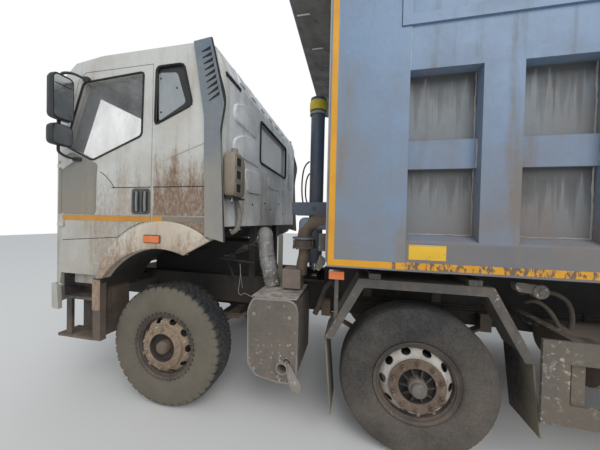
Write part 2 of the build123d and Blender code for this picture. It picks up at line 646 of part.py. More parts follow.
def offset_plate(points, y, grow, mode=Mode.ADD):
    """Outline in X and Z, grown or shrunk all round, filling Y between two limits."""
    with BuildSketch(Plane.XZ.offset(-y[1])) as outline:
        with BuildLine():
            Polyline(*points, close=True)
        make_face()
        offset(amount=grow, kind=Kind.INTERSECTION, mode=Mode.REPLACE)
    extrude(outline.sketch, amount=y[1] - y[0], mode=mode)


def rounded_plan(x, half_width, corner_r, z, mode=Mode.ADD):
    """Block seen from above as a rectangle with its rear and front corners rounded."""
    with BuildSketch(Plane.XY.offset(z[0])) as outline:
        with Locations(((x[0] + x[1]) / 2, 0)):
            Rectangle(x[1] - x[0], 2 * half_width)
        for end, radius in ((0, corner_r[0]), (-1, corner_r[1])):
            fillet(outline.vertices().group_by(Axis.X)[end], radius)
    extrude(outline.sketch, amount=z[1] - z[0], mode=mode)


def screen_point(along, depth):
    """Point of the windscreen plane: share of the way from foot to head, and depth into the cab."""
    run_x, run_z = SCREEN_HEAD[0] - SCREEN_FOOT[0], SCREEN_HEAD[1] - SCREEN_FOOT[1]
    length = math.hypot(run_x, run_z)
    return (
        SCREEN_FOOT[0] + along * run_x - depth * run_z / length,
        SCREEN_FOOT[1] + along * run_z + depth * run_x / length,
    )


def circle_through(first, middle, last):
    """Centre and radius of the circle through three points."""
    (ax, az), (bx, bz), (cx, cz) = first, middle, last
    d = 2 * (ax * (bz - cz) + bx * (cz - az) + cx * (az - bz))
    a2, b2, c2 = ax * ax + az * az, bx * bx + bz * bz, cx * cx + cz * cz
    x = (a2 * (bz - cz) + b2 * (cz - az) + c2 * (az - bz)) / d
    z = (a2 * (cx - bx) + b2 * (ax - cx) + c2 * (bx - ax)) / d
    return (x, z), math.hypot(ax - x, az - z)


def on_circle(circle, grow, bearings):
    """Points on a circle grown outwards, at bearings in degrees from +X towards +Z."""
    (x, z), radius = circle
    reach = radius + grow
    return [
        (x + reach * math.cos(math.radians(b)), z + reach * math.sin(math.radians(b)))
        for b in bearings
    ]


# Cab outlines, all in X and Z
arch_outer = ((AXLE1_X + 611, 1147), (AXLE1_X + 38, 1664), (AXLE1_X - 511, 1524))
arch_inner = ((AXLE1_X + 534, 1153), (AXLE1_X + 38, 1435), (AXLE1_X - 271, 1395))
outer_circle = circle_through(*arch_outer)
inner_circle = circle_through(*arch_inner)
arch_edge = [p for p in on_circle(inner_circle, 14, range(110, 20, -8)) if p[1] > CAB_SKIRT]
door_outline = [
    (DOOR_FRONT, DOOR_SILL), (DOOR_FRONT, 2330), (SCREEN_HEAD[0] - 150, DOOR_HEAD - 60),
    (SCREEN_HEAD[0] - 230, DOOR_HEAD), (DOOR_REAR, DOOR_HEAD),
] + [
    p for p in on_circle(outer_circle, 16, (90, 80, 70, 60, 50, 40, 30))
    if p[1] > DOOR_SILL and p[0] > DOOR_REAR
]
door_window = [
    (AXLE1_X + 985, 2345), (AXLE1_X + 780, DOOR_HEAD - 90), (AXLE1_X + 136, DOOR_HEAD - 60),
    (AXLE1_X + 150, 2400),
    (AXLE1_X + 675, 2205),
]
quarter_window = [
    (AXLE1_X + 10, DOOR_HEAD - 30), (AXLE1_X - 250, DOOR_HEAD - 30), (AXLE1_X - 335, 2625),
    (AXLE1_X + 22, 2480),
]
cab_outline = [
    (CAB_FRONT, CAB_LOW), (CAB_FRONT, 2060), SCREEN_FOOT, SCREEN_HEAD, (SCREEN_HEAD[0] - 120, 3085),
    (SCREEN_HEAD[0] - 420, CAB_ROOF), (CAB_REAR + 140, CAB_ROOF), (CAB_REAR + 60, 3060), (CAB_REAR, 2900),
    (CAB_REAR, CAB_FLOOR), (AXLE1_X - 505, 1530), *arch_edge, (AXLE1_X + 600, CAB_SKIRT),
    (DOOR_FRONT + 10, CAB_SKIRT), (DOOR_FRONT + 40, CAB_LOW),
]
cab_inside = [
    (CAB_FRONT - 70, 1520), (CAB_FRONT - 70, 2060), (SCREEN_FOOT[0] - 75, 2110),
    (SCREEN_HEAD[0] - 70, 2960), (SCREEN_HEAD[0] - 160, 3025), (SCREEN_HEAD[0] - 430, 3055),
    (CAB_REAR + 165, 3055), (CAB_REAR + 110, 3020), (CAB_REAR + 60, 2890), (CAB_REAR + 60, 1700),
    (AXLE1_X + 600, 1700), (AXLE1_X + 700, 1520),
]
cab_under = [
    (CAB_REAR - 10, 1000), (CAB_FRONT - 70, 1000), (CAB_FRONT - 70, 1460), (AXLE1_X + 640, 1460),
    (AXLE1_X + 560, CAB_FLOOR), (CAB_REAR - 10, CAB_FLOOR),
]
CAB_WALL = 70.0  # front wall
CAB_CORNER_R = 400.0  # front corners, seen from above
HINGE_X = DOOR_FRONT - 20
HINGE_Y = CAB_Y + 5
HINGE_LEVELS = (1640.0, 2180.0)
HINGE_R = 13.0
HINGE_PIN_R = 6.0
HINGE_H = 34.0

# Room inside the cab and the hollow under its floor, both with rounded front corners
with BuildPart() as cab_room:
    side_plate(cab_inside, (-CAB_Y + CAB_SKIN, CAB_Y - CAB_SKIN))
    side_plate(cab_under, (-CAB_Y + CAB_SKIN, CAB_Y - CAB_SKIN))
    rounded_plan(
        (CAB_REAR - 20, CAB_FRONT - CAB_WALL), CAB_Y - CAB_SKIN, (5, CAB_CORNER_R - CAB_WALL + 5),
        (900, CAB_ROOF), mode=Mode.INTERSECT,
    )

# Cab shell: floor, walls, roof and skirts in one welded body, with every opening cut
with BuildPart() as cab_body:
    side_plate(cab_outline, (-CAB_Y, CAB_Y))
    rounded_plan((CAB_REAR, CAB_FRONT), CAB_Y, (80, CAB_CORNER_R), (900, CAB_ROOF + 10), mode=Mode.INTERSECT)
    add(cab_room.part, mode=Mode.SUBTRACT)
    for side in (1, -1):
        wall = sorted((side * (CAB_Y - CAB_SKIN - AIR), side * (CAB_Y + 1)))
        side_plate(door_outline, wall, mode=Mode.SUBTRACT)
        side_plate(quarter_window, wall, mode=Mode.SUBTRACT)
    screen = [screen_point(0.05, -30), screen_point(0.94, -30), screen_point(0.94, 110), screen_point(0.05, 110)]
    side_plate(screen, (-SCREEN_HALF, SCREEN_HALF), mode=Mode.SUBTRACT)
    block((CAB_REAR - 1, CAB_REAR + 90), REAR_WINDOW_Y, REAR_WINDOW_Z, mode=Mode.SUBTRACT)
    for middle in LID_HINGE_Y:
        for lug in ((middle - 75, middle - 46), (middle + 46, middle + 75)):
            block((CAB_FRONT - 25, LID_HINGE_X + 12), lug, (LID_TOP + 2, LID_TOP + 40))
            bar_y(LID_HINGE_X, LID_HINGE_Z, LID_PIN_R + RUN_GAP, lug, mode=Mode.SUBTRACT)
    block((CAB_FRONT - 71, CAB_FRONT + 1), (-LID_HALF, LID_HALF), (LID_BOTTOM, LID_TOP), mode=Mode.SUBTRACT)
    block((CAB_FRONT - 70, CAB_FRONT - 50), (-LID_HALF - 10, LID_HALF + 10), (LID_BOTTOM + 240, LID_TOP + 10))
    for side in (1, -1):
        ear = sorted((side * 472.0, side * 512.0))
        side_plate(
            [
                (CAB_FRONT - 69, 1190), (CAB_FRONT - 69, CAB_LOW + 2), (TILT_X + 34, TILT_Z),
                (TILT_X + 17, TILT_Z - 32), (TILT_X - 17, TILT_Z - 32), (TILT_X - 34, TILT_Z), (TILT_X - 34, 1190),
            ],
            ear,
        )
        bar_y(TILT_X, TILT_Z, TILT_PIN_R + RUN_GAP, ear, mode=Mode.SUBTRACT)
        for level in HINGE_LEVELS:
            leaf = sorted((side * CAB_Y, side * (CAB_Y + 9)))
            block((HINGE_X, DOOR_FRONT + 40), leaf, (level - HINGE_H, level - GAP))
            root = sorted((side * (CAB_Y - 30), side * (CAB_Y + 9)))
            block((DOOR_FRONT + 1, DOOR_FRONT + 40), root, (level - HINGE_H, level - GAP))
            bar_z(HINGE_X, side * HINGE_Y, HINGE_R, (level - HINGE_H, level - GAP))
            bar_z(HINGE_X, side * HINGE_Y, HINGE_PIN_R, (level - HINGE_H, level + HINGE_H))
keep("cab_body", cab_body.part)

# Doors: one panel each, as thick as the wall, with the window cut and the hinge knuckles
for word, side in (("left", 1), ("right", -1)):
    with BuildPart() as door:
        wall = sorted((side * (CAB_Y - DOOR_T), side * CAB_Y))
        offset_plate(door_outline, wall, -AIR)
        cut = sorted((side * (CAB_Y - DOOR_T - 1), side * (CAB_Y + 1)))
        side_plate(door_window, cut, mode=Mode.SUBTRACT)
        for level in HINGE_LEVELS:
            slot = (level - HINGE_H - 4, level)
            bar_z(HINGE_X, side * HINGE_Y, HINGE_R + 5, slot, mode=Mode.SUBTRACT)
            bar_z(HINGE_X, side * HINGE_Y, HINGE_R, (level, level + HINGE_H))
            bar_z(
                HINGE_X, side * HINGE_Y, HINGE_PIN_R + RUN_GAP,
                (level - 1, level + HINGE_H + 1), mode=Mode.SUBTRACT,
            )
        handle = sorted((side * CAB_Y, side * (CAB_Y - 25)))
        for x in (AXLE1_X + 73, AXLE1_X + 158):
            block((x, x + 68), handle, (1742, 1934), mode=Mode.SUBTRACT)
    keep(f"door_{word}", door.part)
    with BuildPart() as pane:
        glass = sorted((side * (CAB_Y - 34), side * (CAB_Y - 28)))
        offset_plate(door_window, glass, -GAP)
    keep(f"door_glass_{word}", pane.part)
    with BuildPart() as mirror_part:
        for x, y, z in MIRROR_HEADS:
            block(x, sorted((side * y[0], side * y[1])), z)
        mast_y = side * MIRROR_MAST_Y
        bar_z(MIRROR_MAST_X, mast_y, 14, (2215, 2940))
        root = sorted((side * (CAB_Y + GAP), side * (MIRROR_MAST_Y + 14)))
        for x, z in ((AXLE1_X + 811, 2895), (AXLE1_X + 1000, 2230)):
            bar_y(x, z, 16, root)
            block(sorted((x, MIRROR_MAST_X)), sorted((mast_y - 12, mast_y + 12)), (z - 14, z + 14))
    keep(f"mirror_{word}", mirror_part.part)

# Fixed glass: windscreen, quarter windows and rear window
with BuildPart() as cab_glass:
    sheet = [screen_point(0.052, 20), screen_point(0.938, 20), screen_point(0.938, 27), screen_point(0.052, 27)]
    side_plate(sheet, (-SCREEN_HALF + GAP, SCREEN_HALF - GAP))
    pane_z = (REAR_WINDOW_Z[0] + GAP, REAR_WINDOW_Z[1] - GAP)
    pane_y = (REAR_WINDOW_Y[0] + GAP, REAR_WINDOW_Y[1] - GAP)
    block((CAB_REAR + 26, CAB_REAR + 32), pane_y, pane_z)
    for side in (1, -1):
        offset_plate(quarter_window, sorted((side * (CAB_Y - 20), side * (CAB_Y - 14))), -GAP)
keep("cab_glass", cab_glass.part)

# Front service lid under the windscreen, with grille bars and its hinge along the top
with BuildPart() as front_lid:
    lid_y = LID_HALF - AIR
    block((CAB_FRONT - LID_T, CAB_FRONT), (-lid_y, lid_y), (LID_BOTTOM + AIR, LID_TOP - AIR))
    for i in range(5):
        z = LID_BOTTOM + 90 + i * 95
        block((CAB_FRONT - 22, CAB_FRONT + 1), (-lid_y + 80, lid_y - 80), (z, z + 55), mode=Mode.SUBTRACT)
    for y in LID_HINGE_Y:
        block((CAB_FRONT - 10, CAB_FRONT + 13), (y - 38, y + 38), (LID_TOP - 60, LID_TOP - AIR))
        block((CAB_FRONT + 5, CAB_FRONT + 13), (y - 38, y + 38), (LID_TOP - 20, LID_HINGE_Z))
        bar_y(LID_HINGE_X, LID_HINGE_Z, 9, (y - 38, y + 38))
        bar_y(LID_HINGE_X, LID_HINGE_Z, LID_PIN_R, (y - 78, y + 78))
keep("front_lid", front_lid.part)

# Air deflectors: upright fins behind the side walls
with BuildPart() as deflectors:
    side_plate(
        [
            (AXLE1_X - 476, 1562), (AXLE1_X - 457, 2508), (AXLE1_X - 356, 3110), (AXLE1_X - 507, 3125),
            (AXLE1_X - 630, 2598), (AXLE1_X - 599, 2405), (AXLE1_X - 640, 1522),
        ],
        (CAB_Y + GAP, CAB_Y + 28),
    )
    mirror(about=Plane.XZ)
keep("deflectors", deflectors.part)

# Flares over the front wheel arches
with BuildPart() as arch_flares:
    with BuildSketch(Plane.XZ.offset(-CAB_Y - 22)):
        with BuildLine():
            ThreePointArc(*arch_outer)
            Line(arch_outer[2], arch_inner[2])
            ThreePointArc(*reversed(arch_inner))
            Line(arch_inner[0], arch_outer[0])
        make_face()
    extrude(amount=21.7)
    mirror(about=Plane.XZ)
keep("arch_flares", arch_flares.part)

# Seats and dashboard inside the cab
with BuildPart() as cab_interior:
    for y in (-640.0, 640.0):
        block((3620, 4080), (y - 250, y + 250), (1700, 2100))
        block((3500, 3640), (y - 250, y + 250), (1700, 2700))
        block((3520, 3620), (y - 150, y + 150), (2700, 2880))
    block((4560, 4850), (-980, 980), (1900, 2080))
    block((4760, CAB_FRONT - CAB_WALL - GAP), (-830, 830), (1520 + GAP, 1905))
    block((3100, 3380), (-1100, 1100), (1700, 2060))
    with BuildSketch(Plane(origin=(4470, 640, 2080), z_dir=(-0.75, 0, 0.66))):
        Circle(235)
        Circle(205, mode=Mode.SUBTRACT)
        Rectangle(60, 420)
    extrude(amount=26)
    with BuildSketch(Plane(origin=(4465, 640, 2084), z_dir=(0.75, 0, -0.66))):
        Circle(32)
    extrude(amount=205)
keep("cab_interior", cab_interior.part)

# Plastic can strapped at the left rear corner of the cab
CAN_Y = (955.0, 1235.0)
CAN_Z = (1880.0, 2260.0)
with BuildPart() as jerrycan:
    block((CAB_REAR - 145, CAB_REAR - 5), CAN_Y, CAN_Z)
    for z in (1960.0, 2070.0, 2180.0):
        grip = (CAN_Y[1] - 90, CAN_Y[1] - 40)
        block((CAB_REAR - 146, CAB_REAR - 4), grip, (z - 22, z + 22), mode=Mode.SUBTRACT)
    bar_z(CAB_REAR - 75, CAN_Y[0] + 70, 30, (CAN_Z[1], CAN_Z[1] + 40))
    block((CAB_REAR - 145, CAB_REAR - GAP), CAN_Y, (CAN_Z[0] - 10, CAN_Z[0] + 0.5))
keep("jerrycan", jerrycan.part)

# Bumper: one bent plate with rounded corners, its returns shaped to clear the tilting cab,
# and arms to the rails
LAMP_Y = (540.0, 805.0)
LAMP_Z = (850.0, 960.0)
BUMPER_Z = (800.0, 1000.0)
BUMPER_T = 35.0
BUMPER_FRONT = CAB_FRONT + 90.0
BUMPER_HALF = CAB_Y - 5
BUMPER_CORNER_R = 420.0
RETURN_TOP = TILT_Z + 30.0
with BuildPart() as bumper:
    back = BUMPER_FRONT - BUMPER_T
    side_plate(
        [
            (DOOR_FRONT + 45, 817), (back, BUMPER_Z[0]), (BUMPER_FRONT, BUMPER_Z[0]),
            (BUMPER_FRONT, BUMPER_Z[1]), (back, BUMPER_Z[1]), (back, 960), (CAB_FRONT, 965),
            (CAB_FRONT - 55, RETURN_TOP - 20), (CAB_FRONT - 110, RETURN_TOP), (DOOR_FRONT + 68, RETURN_TOP),
        ],
        (-BUMPER_HALF, BUMPER_HALF),
    )
    bumper_x = (DOOR_REAR, BUMPER_FRONT)
    rounded_plan(bumper_x, BUMPER_HALF, (5, BUMPER_CORNER_R), (700, 1200), mode=Mode.INTERSECT)
    rounded_plan(
        (DOOR_REAR, back), BUMPER_HALF - BUMPER_T, (5, BUMPER_CORNER_R - BUMPER_T), (700, 1200),
        mode=Mode.SUBTRACT,
    )
    for side in (1, -1):
        block((RAIL_FRONT + GAP, back + 1), sorted((side * 350.0, side * RAIL_Y)), (820, 925))
        lamp_y = sorted((side * LAMP_Y[0], side * LAMP_Y[1]))
        block((back - 1, BUMPER_FRONT + 1), lamp_y, LAMP_Z, mode=Mode.SUBTRACT)
keep("bumper", bumper.part)

# Lamps: headlamps, amber side lamps over the fenders, rear lamp clusters
with BuildPart() as lamps:
    for side in (1, -1):
        lamp_y = sorted((side * (LAMP_Y[0] + GAP), side * (LAMP_Y[1] - GAP)))
        block((back - 20, BUMPER_FRONT - AIR), lamp_y, (LAMP_Z[0] + GAP, LAMP_Z[1] - GAP))
        block((2026, 2136), sorted((side * 1140.0, side * 1210.0)), (1280 + GAP, 1337))
        block((-4170, -4140), sorted((side * 560.0, side * 900.0)), (880, 1010))
        block((-4141, -4110), sorted((side * (RAIL_Y + 40 + GAP), side * 600.0)), (930, 960))
keep("lamps", lamps.part)

# Cab steps and lower arch pieces, one hanging unit on each side
with BuildPart() as cab_steps:
    block((4270, 4600), (1060, 1235), (935, 960))
    block((4590, 4600), (1060, 1235), (960, 1160))
    block((4270, 4600), (1050, 1062), (590, 1160))
    block((4256, 4660), (1060, 1240), (575, 600))
    block((4520, 4580), (1200, 1225), (600, 936))
    block((4180, 4262), (1180, 1236), (640, 1140))
    side_plate([(4250, 1140), (4240, 576), (4257, 576), (4262, 1140)], (880, 1236))
    block((4176, 4256), (1180, 1236), (575, 641))
    block((4400, 4500), (430.3, 1055), (960, 1040))
    mirror(about=Plane.XZ)
keep("cab_steps", cab_steps.part)

# Silencer box with its tail pipe, on a bracket from the left rail
with BuildPart() as silencer:
    with BuildSketch(Plane.XZ.offset(-SILENCER_Y[1])):
        with Locations(((SILENCER_X[0] + SILENCER_X[1]) / 2, (SILENCER_Z[0] + SILENCER_Z[1]) / 2)):
            RectangleRounded(SILENCER_X[1] - SILENCER_X[0], SILENCER_Z[1] - SILENCER_Z[0], 55)
    extrude(amount=SILENCER_Y[1] - SILENCER_Y[0])
    bar_y(TAIL_PIPE[0], TAIL_PIPE[1], 48, (SILENCER_Y[1] - 120, SILENCER_Y[1] + 25))
    bar_y(TAIL_PIPE[0], TAIL_PIPE[1], 40, (SILENCER_Y[1] - 100, SILENCER_Y[1] + 26), mode=Mode.SUBTRACT)
    block((SILENCER_X[0] + 60, SILENCER_X[0] + 120), (RAIL_Y + GAP, SILENCER_Y[0]), (780, 860))
    block((SILENCER_X[1] - 120, SILENCER_X[1] - 60), (RAIL_Y + GAP, SILENCER_Y[0]), (780, 860))
keep("silencer", silencer.part)

# Exhaust: wrapped pipe down to the silencer, and the heating pipe up through a square joint box
# to the bed's joint face
JOINT_BOX_X = (2423.0, 2597.0)
JOINT_BOX_Z = (1083.0, 1257.0)
with BuildPart() as exhaust_pipes:
    lagging = ((2800.0, 700.0, 1560.0), (2735.0, 735.0, SILENCER_Z[1] + 36))
    run = tuple(b - a for a, b in zip(lagging[1], lagging[0]))
    with BuildSketch(Plane(origin=lagging[1], z_dir=run)):
        Circle(62)
    extrude(amount=math.dist(*lagging))
    bar_z(lagging[1][0], lagging[1][1], 55, (SILENCER_Z[1] + GAP, lagging[1][2] + 30))
    bar_z(sum(JOINT_BOX_X) / 2, PIPE_Y, 45, (SILENCER_Z[1] + GAP, JOINT_BOX_Z[0] + 5))
    block(JOINT_BOX_X, (PIPE_Y - 90, PIPE_Y + 90), JOINT_BOX_Z)
    bar_z(PIPE_X, PIPE_Y, PIPE_R, (JOINT_BOX_Z[1] - 40, PIPE_SPLIT))
    bar_z(PIPE_X, PIPE_Y, PIPE_FLANGE_R, (PIPE_SPLIT - 15, PIPE_SPLIT))
keep("exhaust_pipes", exhaust_pipes.part)

# Fenders over the second axle: three sheets a side, mitred at the folds, on two brackets
FENDER_FOLDS = (AXLE1_X - 1680.0, AXLE1_X - 2536.0)
FENDER_SHEET = 14.0
FENDER_LIP = 62.0
FENDER_Y = (860.0, 1200.0)
BRACKET_T = 12.0


def fender_band(depth, y):
    """Band under the folded line: depth deep below its top, with mitred folds."""
    mitre = depth * 0.58
    side_plate(
        [
            FENDER_FRONT, (FENDER_FOLDS[0], FENDER_TOP), (FENDER_FOLDS[1], FENDER_TOP), FENDER_REAR,
            (FENDER_REAR[0] + depth, FENDER_REAR[1]), (FENDER_FOLDS[1] + mitre, FENDER_TOP - depth),
            (FENDER_FOLDS[0] - mitre, FENDER_TOP - depth), (FENDER_FRONT[0] - depth, FENDER_FRONT[1]),
        ],
        y,
    )


with BuildPart() as fenders:
    fender_band(FENDER_SHEET, FENDER_Y)
    fender_band(FENDER_LIP, (FENDER_Y[1] - 12, FENDER_Y[1]))
    for fold, lean in ((FENDER_FOLDS[0], -0.58), (FENDER_FOLDS[1], 0.58)):
        reach = FENDER_LIP + 4
        side_plate(
            [
                (fold - lean * 2, FENDER_TOP + 2), (fold - lean * 2 + GAP, FENDER_TOP + 2),
                (fold + lean * reach + GAP, FENDER_TOP - reach), (fold + lean * reach, FENDER_TOP - reach),
            ],
            (FENDER_Y[0] - 1, FENDER_Y[1] + 1),
            mode=Mode.SUBTRACT,
        )
    for x in (AXLE1_X - 1790, AXLE1_X - 2430):
        block((x - 40, x + 40), (RAIL_Y + BRACKET_T + GAP, FENDER_Y[1] - 10), (FENDER_TOP + GAP, FENDER_TOP + 40))
        block((x - 40, x + 40), (RAIL_Y + GAP, RAIL_Y + BRACKET_T), (950, FENDER_TOP + 40))
    slope = (FENDER_TOP - FENDER_FRONT[1]) / (FENDER_FRONT[0] - FENDER_FOLDS[0])
    foot = [FENDER_FRONT[1] + slope * (FENDER_FRONT[0] - x) + 3 * GAP for x in (2066, 2094)]
    side_plate([(2066, foot[0]), (2094, foot[1]), (2094, 1280), (2066, 1280)], (1150, 1190))
    mirror(about=Plane.XZ)
keep("fenders", fenders.part)

# Rubber flaps under both ends of the fenders
FLAP_T = 10.0

with BuildPart() as mud_flaps:
    for head, foot in (
        ((FENDER_FRONT[0] - 2, FENDER_FRONT[1] - GAP), (AXLE1_X - 1490, 251)),
        ((FENDER_REAR[0] + 2 + FLAP_T, FENDER_REAR[1] - GAP), (AXLE1_X - 2833 + FLAP_T, 349)),
    ):
        side_plate(
            [head, (head[0] - FLAP_T, head[1]), (foot[0] - FLAP_T, foot[1]), foot], (870, 1180)
        )
    mirror(about=Plane.XZ)
keep("mud_flaps", mud_flaps.part)

# Side guards between the second axle and the bogie, and the rear under-run bar
GUARD_Y = (1195.0, 1215.0)
GUARD_RAILS = ((476.0, 607.0), (860.0, 1000.0))
GUARD_X = (AXLE3_X + 700, AXLE1_X - 2945)
UNDER_RUN_Z = (480.0, 580.0)
with BuildPart() as side_guards:
    for rail in GUARD_RAILS:
        block((GUARD_X[0], GUARD_X[1] - GAP), GUARD_Y, rail)
    block((GUARD_X[1], GUARD_X[1] + 145), GUARD_Y, (GUARD_RAILS[0][0], GUARD_RAILS[1][1]))
    for x in (600.0, -700.0):
        block((x - 35, x + 35), (RAIL_Y + GAP, GUARD_Y[0] - GAP), (950 + GAP, GUARD_RAILS[1][1]))
        block((x - 35, x + 35), (GUARD_Y[0] - 35, GUARD_Y[0] - GAP), (GUARD_RAILS[0][0], 950))
    block((-4140, -4060), (-1, 1100), UNDER_RUN_Z)
    block((-4140, -4080), (350, 425), (UNDER_RUN_Z[1] + GAP, RAIL_TOP - RAIL_H - GAP))
    mirror(about=Plane.XZ)
keep("side_guards", side_guards.part)

# Tanks inside the guards: air tanks on the left, fuel tank on the right
with BuildPart() as tanks:
    bar_x(620, 790, 140, (-500, 400))
    bar_x(960, 760, 140, (-500, 400))
    block((-500, 400), (600, 980), (640, 720))
    block((-330, -250), (RAIL_Y + GAP, 960), (800, 860))
    block((200, 280), (RAIL_Y + GAP, 960), (800, 860))
    block((-560, 440), (-1150, -520), (440, 940))
    block((-330, -250), (-521, -RAIL_Y - GAP), (800, 900))
    block((200, 280), (-521, -RAIL_Y - GAP), (800, 900))
keep("tanks", tanks.part)

for name, piece in made_parts.items():
    box = piece.bounding_box()
    print(name, len(piece.solids()), [round(v) for v in (*box.min, *box.max)])
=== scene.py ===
# %% [markdown]
# A four-axle dump truck, seen from its left side between the cab and the bed.
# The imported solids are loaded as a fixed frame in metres: +X points forward, +Y to the
# truck's left and +Z up, with the origin on the ground under the middle of the truck.
# Everything made below is placed from those solids, so nothing has to be fitted by eye.

# %% Load the frame
import math

import bmesh
import bpy
import numpy as np

from mathutils import Matrix


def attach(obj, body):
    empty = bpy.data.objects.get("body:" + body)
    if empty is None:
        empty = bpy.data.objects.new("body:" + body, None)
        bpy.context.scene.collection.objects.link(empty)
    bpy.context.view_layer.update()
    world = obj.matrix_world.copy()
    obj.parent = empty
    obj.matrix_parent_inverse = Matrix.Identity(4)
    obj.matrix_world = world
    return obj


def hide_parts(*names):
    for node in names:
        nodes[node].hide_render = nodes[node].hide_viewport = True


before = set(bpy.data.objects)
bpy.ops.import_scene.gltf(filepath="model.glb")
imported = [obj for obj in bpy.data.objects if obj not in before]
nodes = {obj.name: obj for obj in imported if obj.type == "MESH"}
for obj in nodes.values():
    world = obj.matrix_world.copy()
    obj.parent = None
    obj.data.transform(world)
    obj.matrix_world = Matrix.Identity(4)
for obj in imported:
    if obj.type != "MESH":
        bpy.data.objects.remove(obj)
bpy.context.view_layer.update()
SIDES = (("left", 1), ("right", -1))

# %% [markdown]
# The photograph was taken with a phone's wide lens at eye level, close to the truck and
# turned a little towards its rear. The camera's place, turn and focal length were solved
# from the wheels, the bed's long rails and the door, so they are plain numbers here.

# %% Camera
CAMERA_PLACE = np.array([1.979, 3.002, 1.698])
YAW, PITCH, ROLL = 0.2099, -0.0151, 0.0224
SENSOR_MM, LENS_MM, FARTHEST = 36.0, 14.64, 200.0


def place_object(name, data, place, x_axis, y_axis, z_axis):
    """Links a camera or lamp whose own axes point along the three given directions."""
    thing = bpy.data.objects.new(name, data)
    pose = np.eye(4)
    pose[:3, 0], pose[:3, 1], pose[:3, 2], pose[:3, 3] = x_axis, y_axis, z_axis, place
    thing.matrix_world = Matrix(pose.tolist())
    bpy.context.scene.collection.objects.link(thing)
    return thing


forward = np.array([math.sin(YAW), -math.cos(YAW), 0.0])
right = np.array([-math.cos(YAW), -math.sin(YAW), 0.0])
up = np.array([0.0, 0.0, 1.0])
look = forward * math.cos(PITCH) + up * math.sin(PITCH)
lifted = up * math.cos(PITCH) - forward * math.sin(PITCH)
side_axis = right * math.cos(ROLL) + lifted * math.sin(ROLL)
top_axis = lifted * math.cos(ROLL) - right * math.sin(ROLL)

lens = bpy.data.cameras.new("photo_camera")
lens.sensor_width, lens.lens, lens.clip_end = SENSOR_MM, LENS_MM, FARTHEST
bpy.context.scene.camera = place_object("photo_camera", lens, CAMERA_PLACE, side_axis, top_axis, -look)
bpy.context.scene.view_settings.view_transform = "Standard"
print("camera at", CAMERA_PLACE, "looks along", look.round(3))

# %% [markdown]
# Materials are built from nodes. Finish holds one material's tree, and its short words add
# noise, straight-line ramps, sums and blends of colours, all on object coordinates.

# %% Node helpers
FINISHES = {}


class Finish:
    """One material: its node tree, its shader, and short words for the nodes in it."""

    def __init__(self, name):
        self.material = FINISHES[name] = bpy.data.materials.new(name)
        self.material.use_nodes = True
        self.tree = self.material.node_tree
        self.tree.nodes.clear()
        self.shader = self.node("BsdfPrincipled")
        self.node("OutputMaterial", Surface=self.shader.outputs["BSDF"])

    def put(self, value, slot):
        """Sets a slot to a number or a colour, or links another node's socket to it."""
        if isinstance(value, tuple):
            slot.default_value = value if slot.type == "VECTOR" else (*value, 1.0)
        elif isinstance(value, (int, float)):
            slot.default_value = value
        else:
            self.tree.links.new(value, slot)

    def set(self, node, **values):
        """Sets inputs of a node by name, with _ for a space."""
        for name, value in values.items():
            self.put(value, node.inputs[name.replace("_", " ")])
        return node

    def node(self, kind, **values):
        """New shader node."""
        return self.set(self.tree.nodes.new("ShaderNode" + kind), **values)

    def where(self):
        """Object coordinates, in metres."""
        return self.node("TexCoord").outputs["Object"]

    def axis(self, letter):
        """One object coordinate."""
        return self.node("SeparateXYZ", Vector=self.where()).outputs[letter]

    def stretched(self, scale):
        """Object coordinates stretched along X, Y and Z."""
        return self.node("Mapping", Vector=self.where(), Scale=scale).outputs["Vector"]

    def noise(self, scale, detail=4.0, rough=0.55, stretch=(1.0, 1.0, 1.0), twist=0.0):
        """Fractal noise between 0 and 1, in cycles a metre."""
        return self.node("TexNoise", Vector=self.stretched(stretch), Scale=scale, Detail=detail, Roughness=rough,
                         Distortion=twist).outputs["Fac"]

    def ramp(self, value, low, high, low_out=0.0, high_out=1.0):
        """Straight line from low_out at low to high_out at high, held outside."""
        return self.node("MapRange", Value=value, From_Min=low, From_Max=high, To_Min=low_out,
                         To_Max=high_out).outputs["Result"]

    def calc(self, operation, first, second=0.0):
        """One arithmetic step between sockets or numbers; sums and products stay within 0 and 1."""
        node = self.node("Math")
        node.operation, node.use_clamp = operation, operation in ("MULTIPLY", "ADD")
        self.put(first, node.inputs[0])
        self.put(second, node.inputs[1])
        return node.outputs["Value"]

    def add(self, first, second):
        """Sum, held between 0 and 1."""
        return self.calc("ADD", first, second)

    def times(self, first, second):
        """Product, held between 0 and 1."""
        return self.calc("MULTIPLY", first, second)

    def minus(self, first, second):
        """Difference."""
        return self.calc("SUBTRACT", first, second)

    def outward(self):
        """Distance from the truck's middle plane."""
        return self.calc("ABSOLUTE", self.axis("Y"))

    def mix(self, share, first, second):
        """Colour between two colours or colour sockets, by a share from 0 to 1."""
        node = self.node("Mix")
        node.data_type = "RGBA"
        self.put(share, node.inputs["Factor"])
        for slot, value in zip([s for s in node.inputs if s.type == "RGBA"], (first, second)):
            self.put(value, slot)
        return [s for s in node.outputs if s.type == "RGBA"][0]

    def surface(self, relief=None, depth=0.0, reach=0.02, **values):
        """Sets the shader's inputs, and its relief from a height socket; gives the material."""
        if relief is not None:
            values["Normal"] = self.node("Bump", Strength=depth, Distance=reach, Height=relief).outputs["Normal"]
        self.set(self.shader, **values)
        return self.material


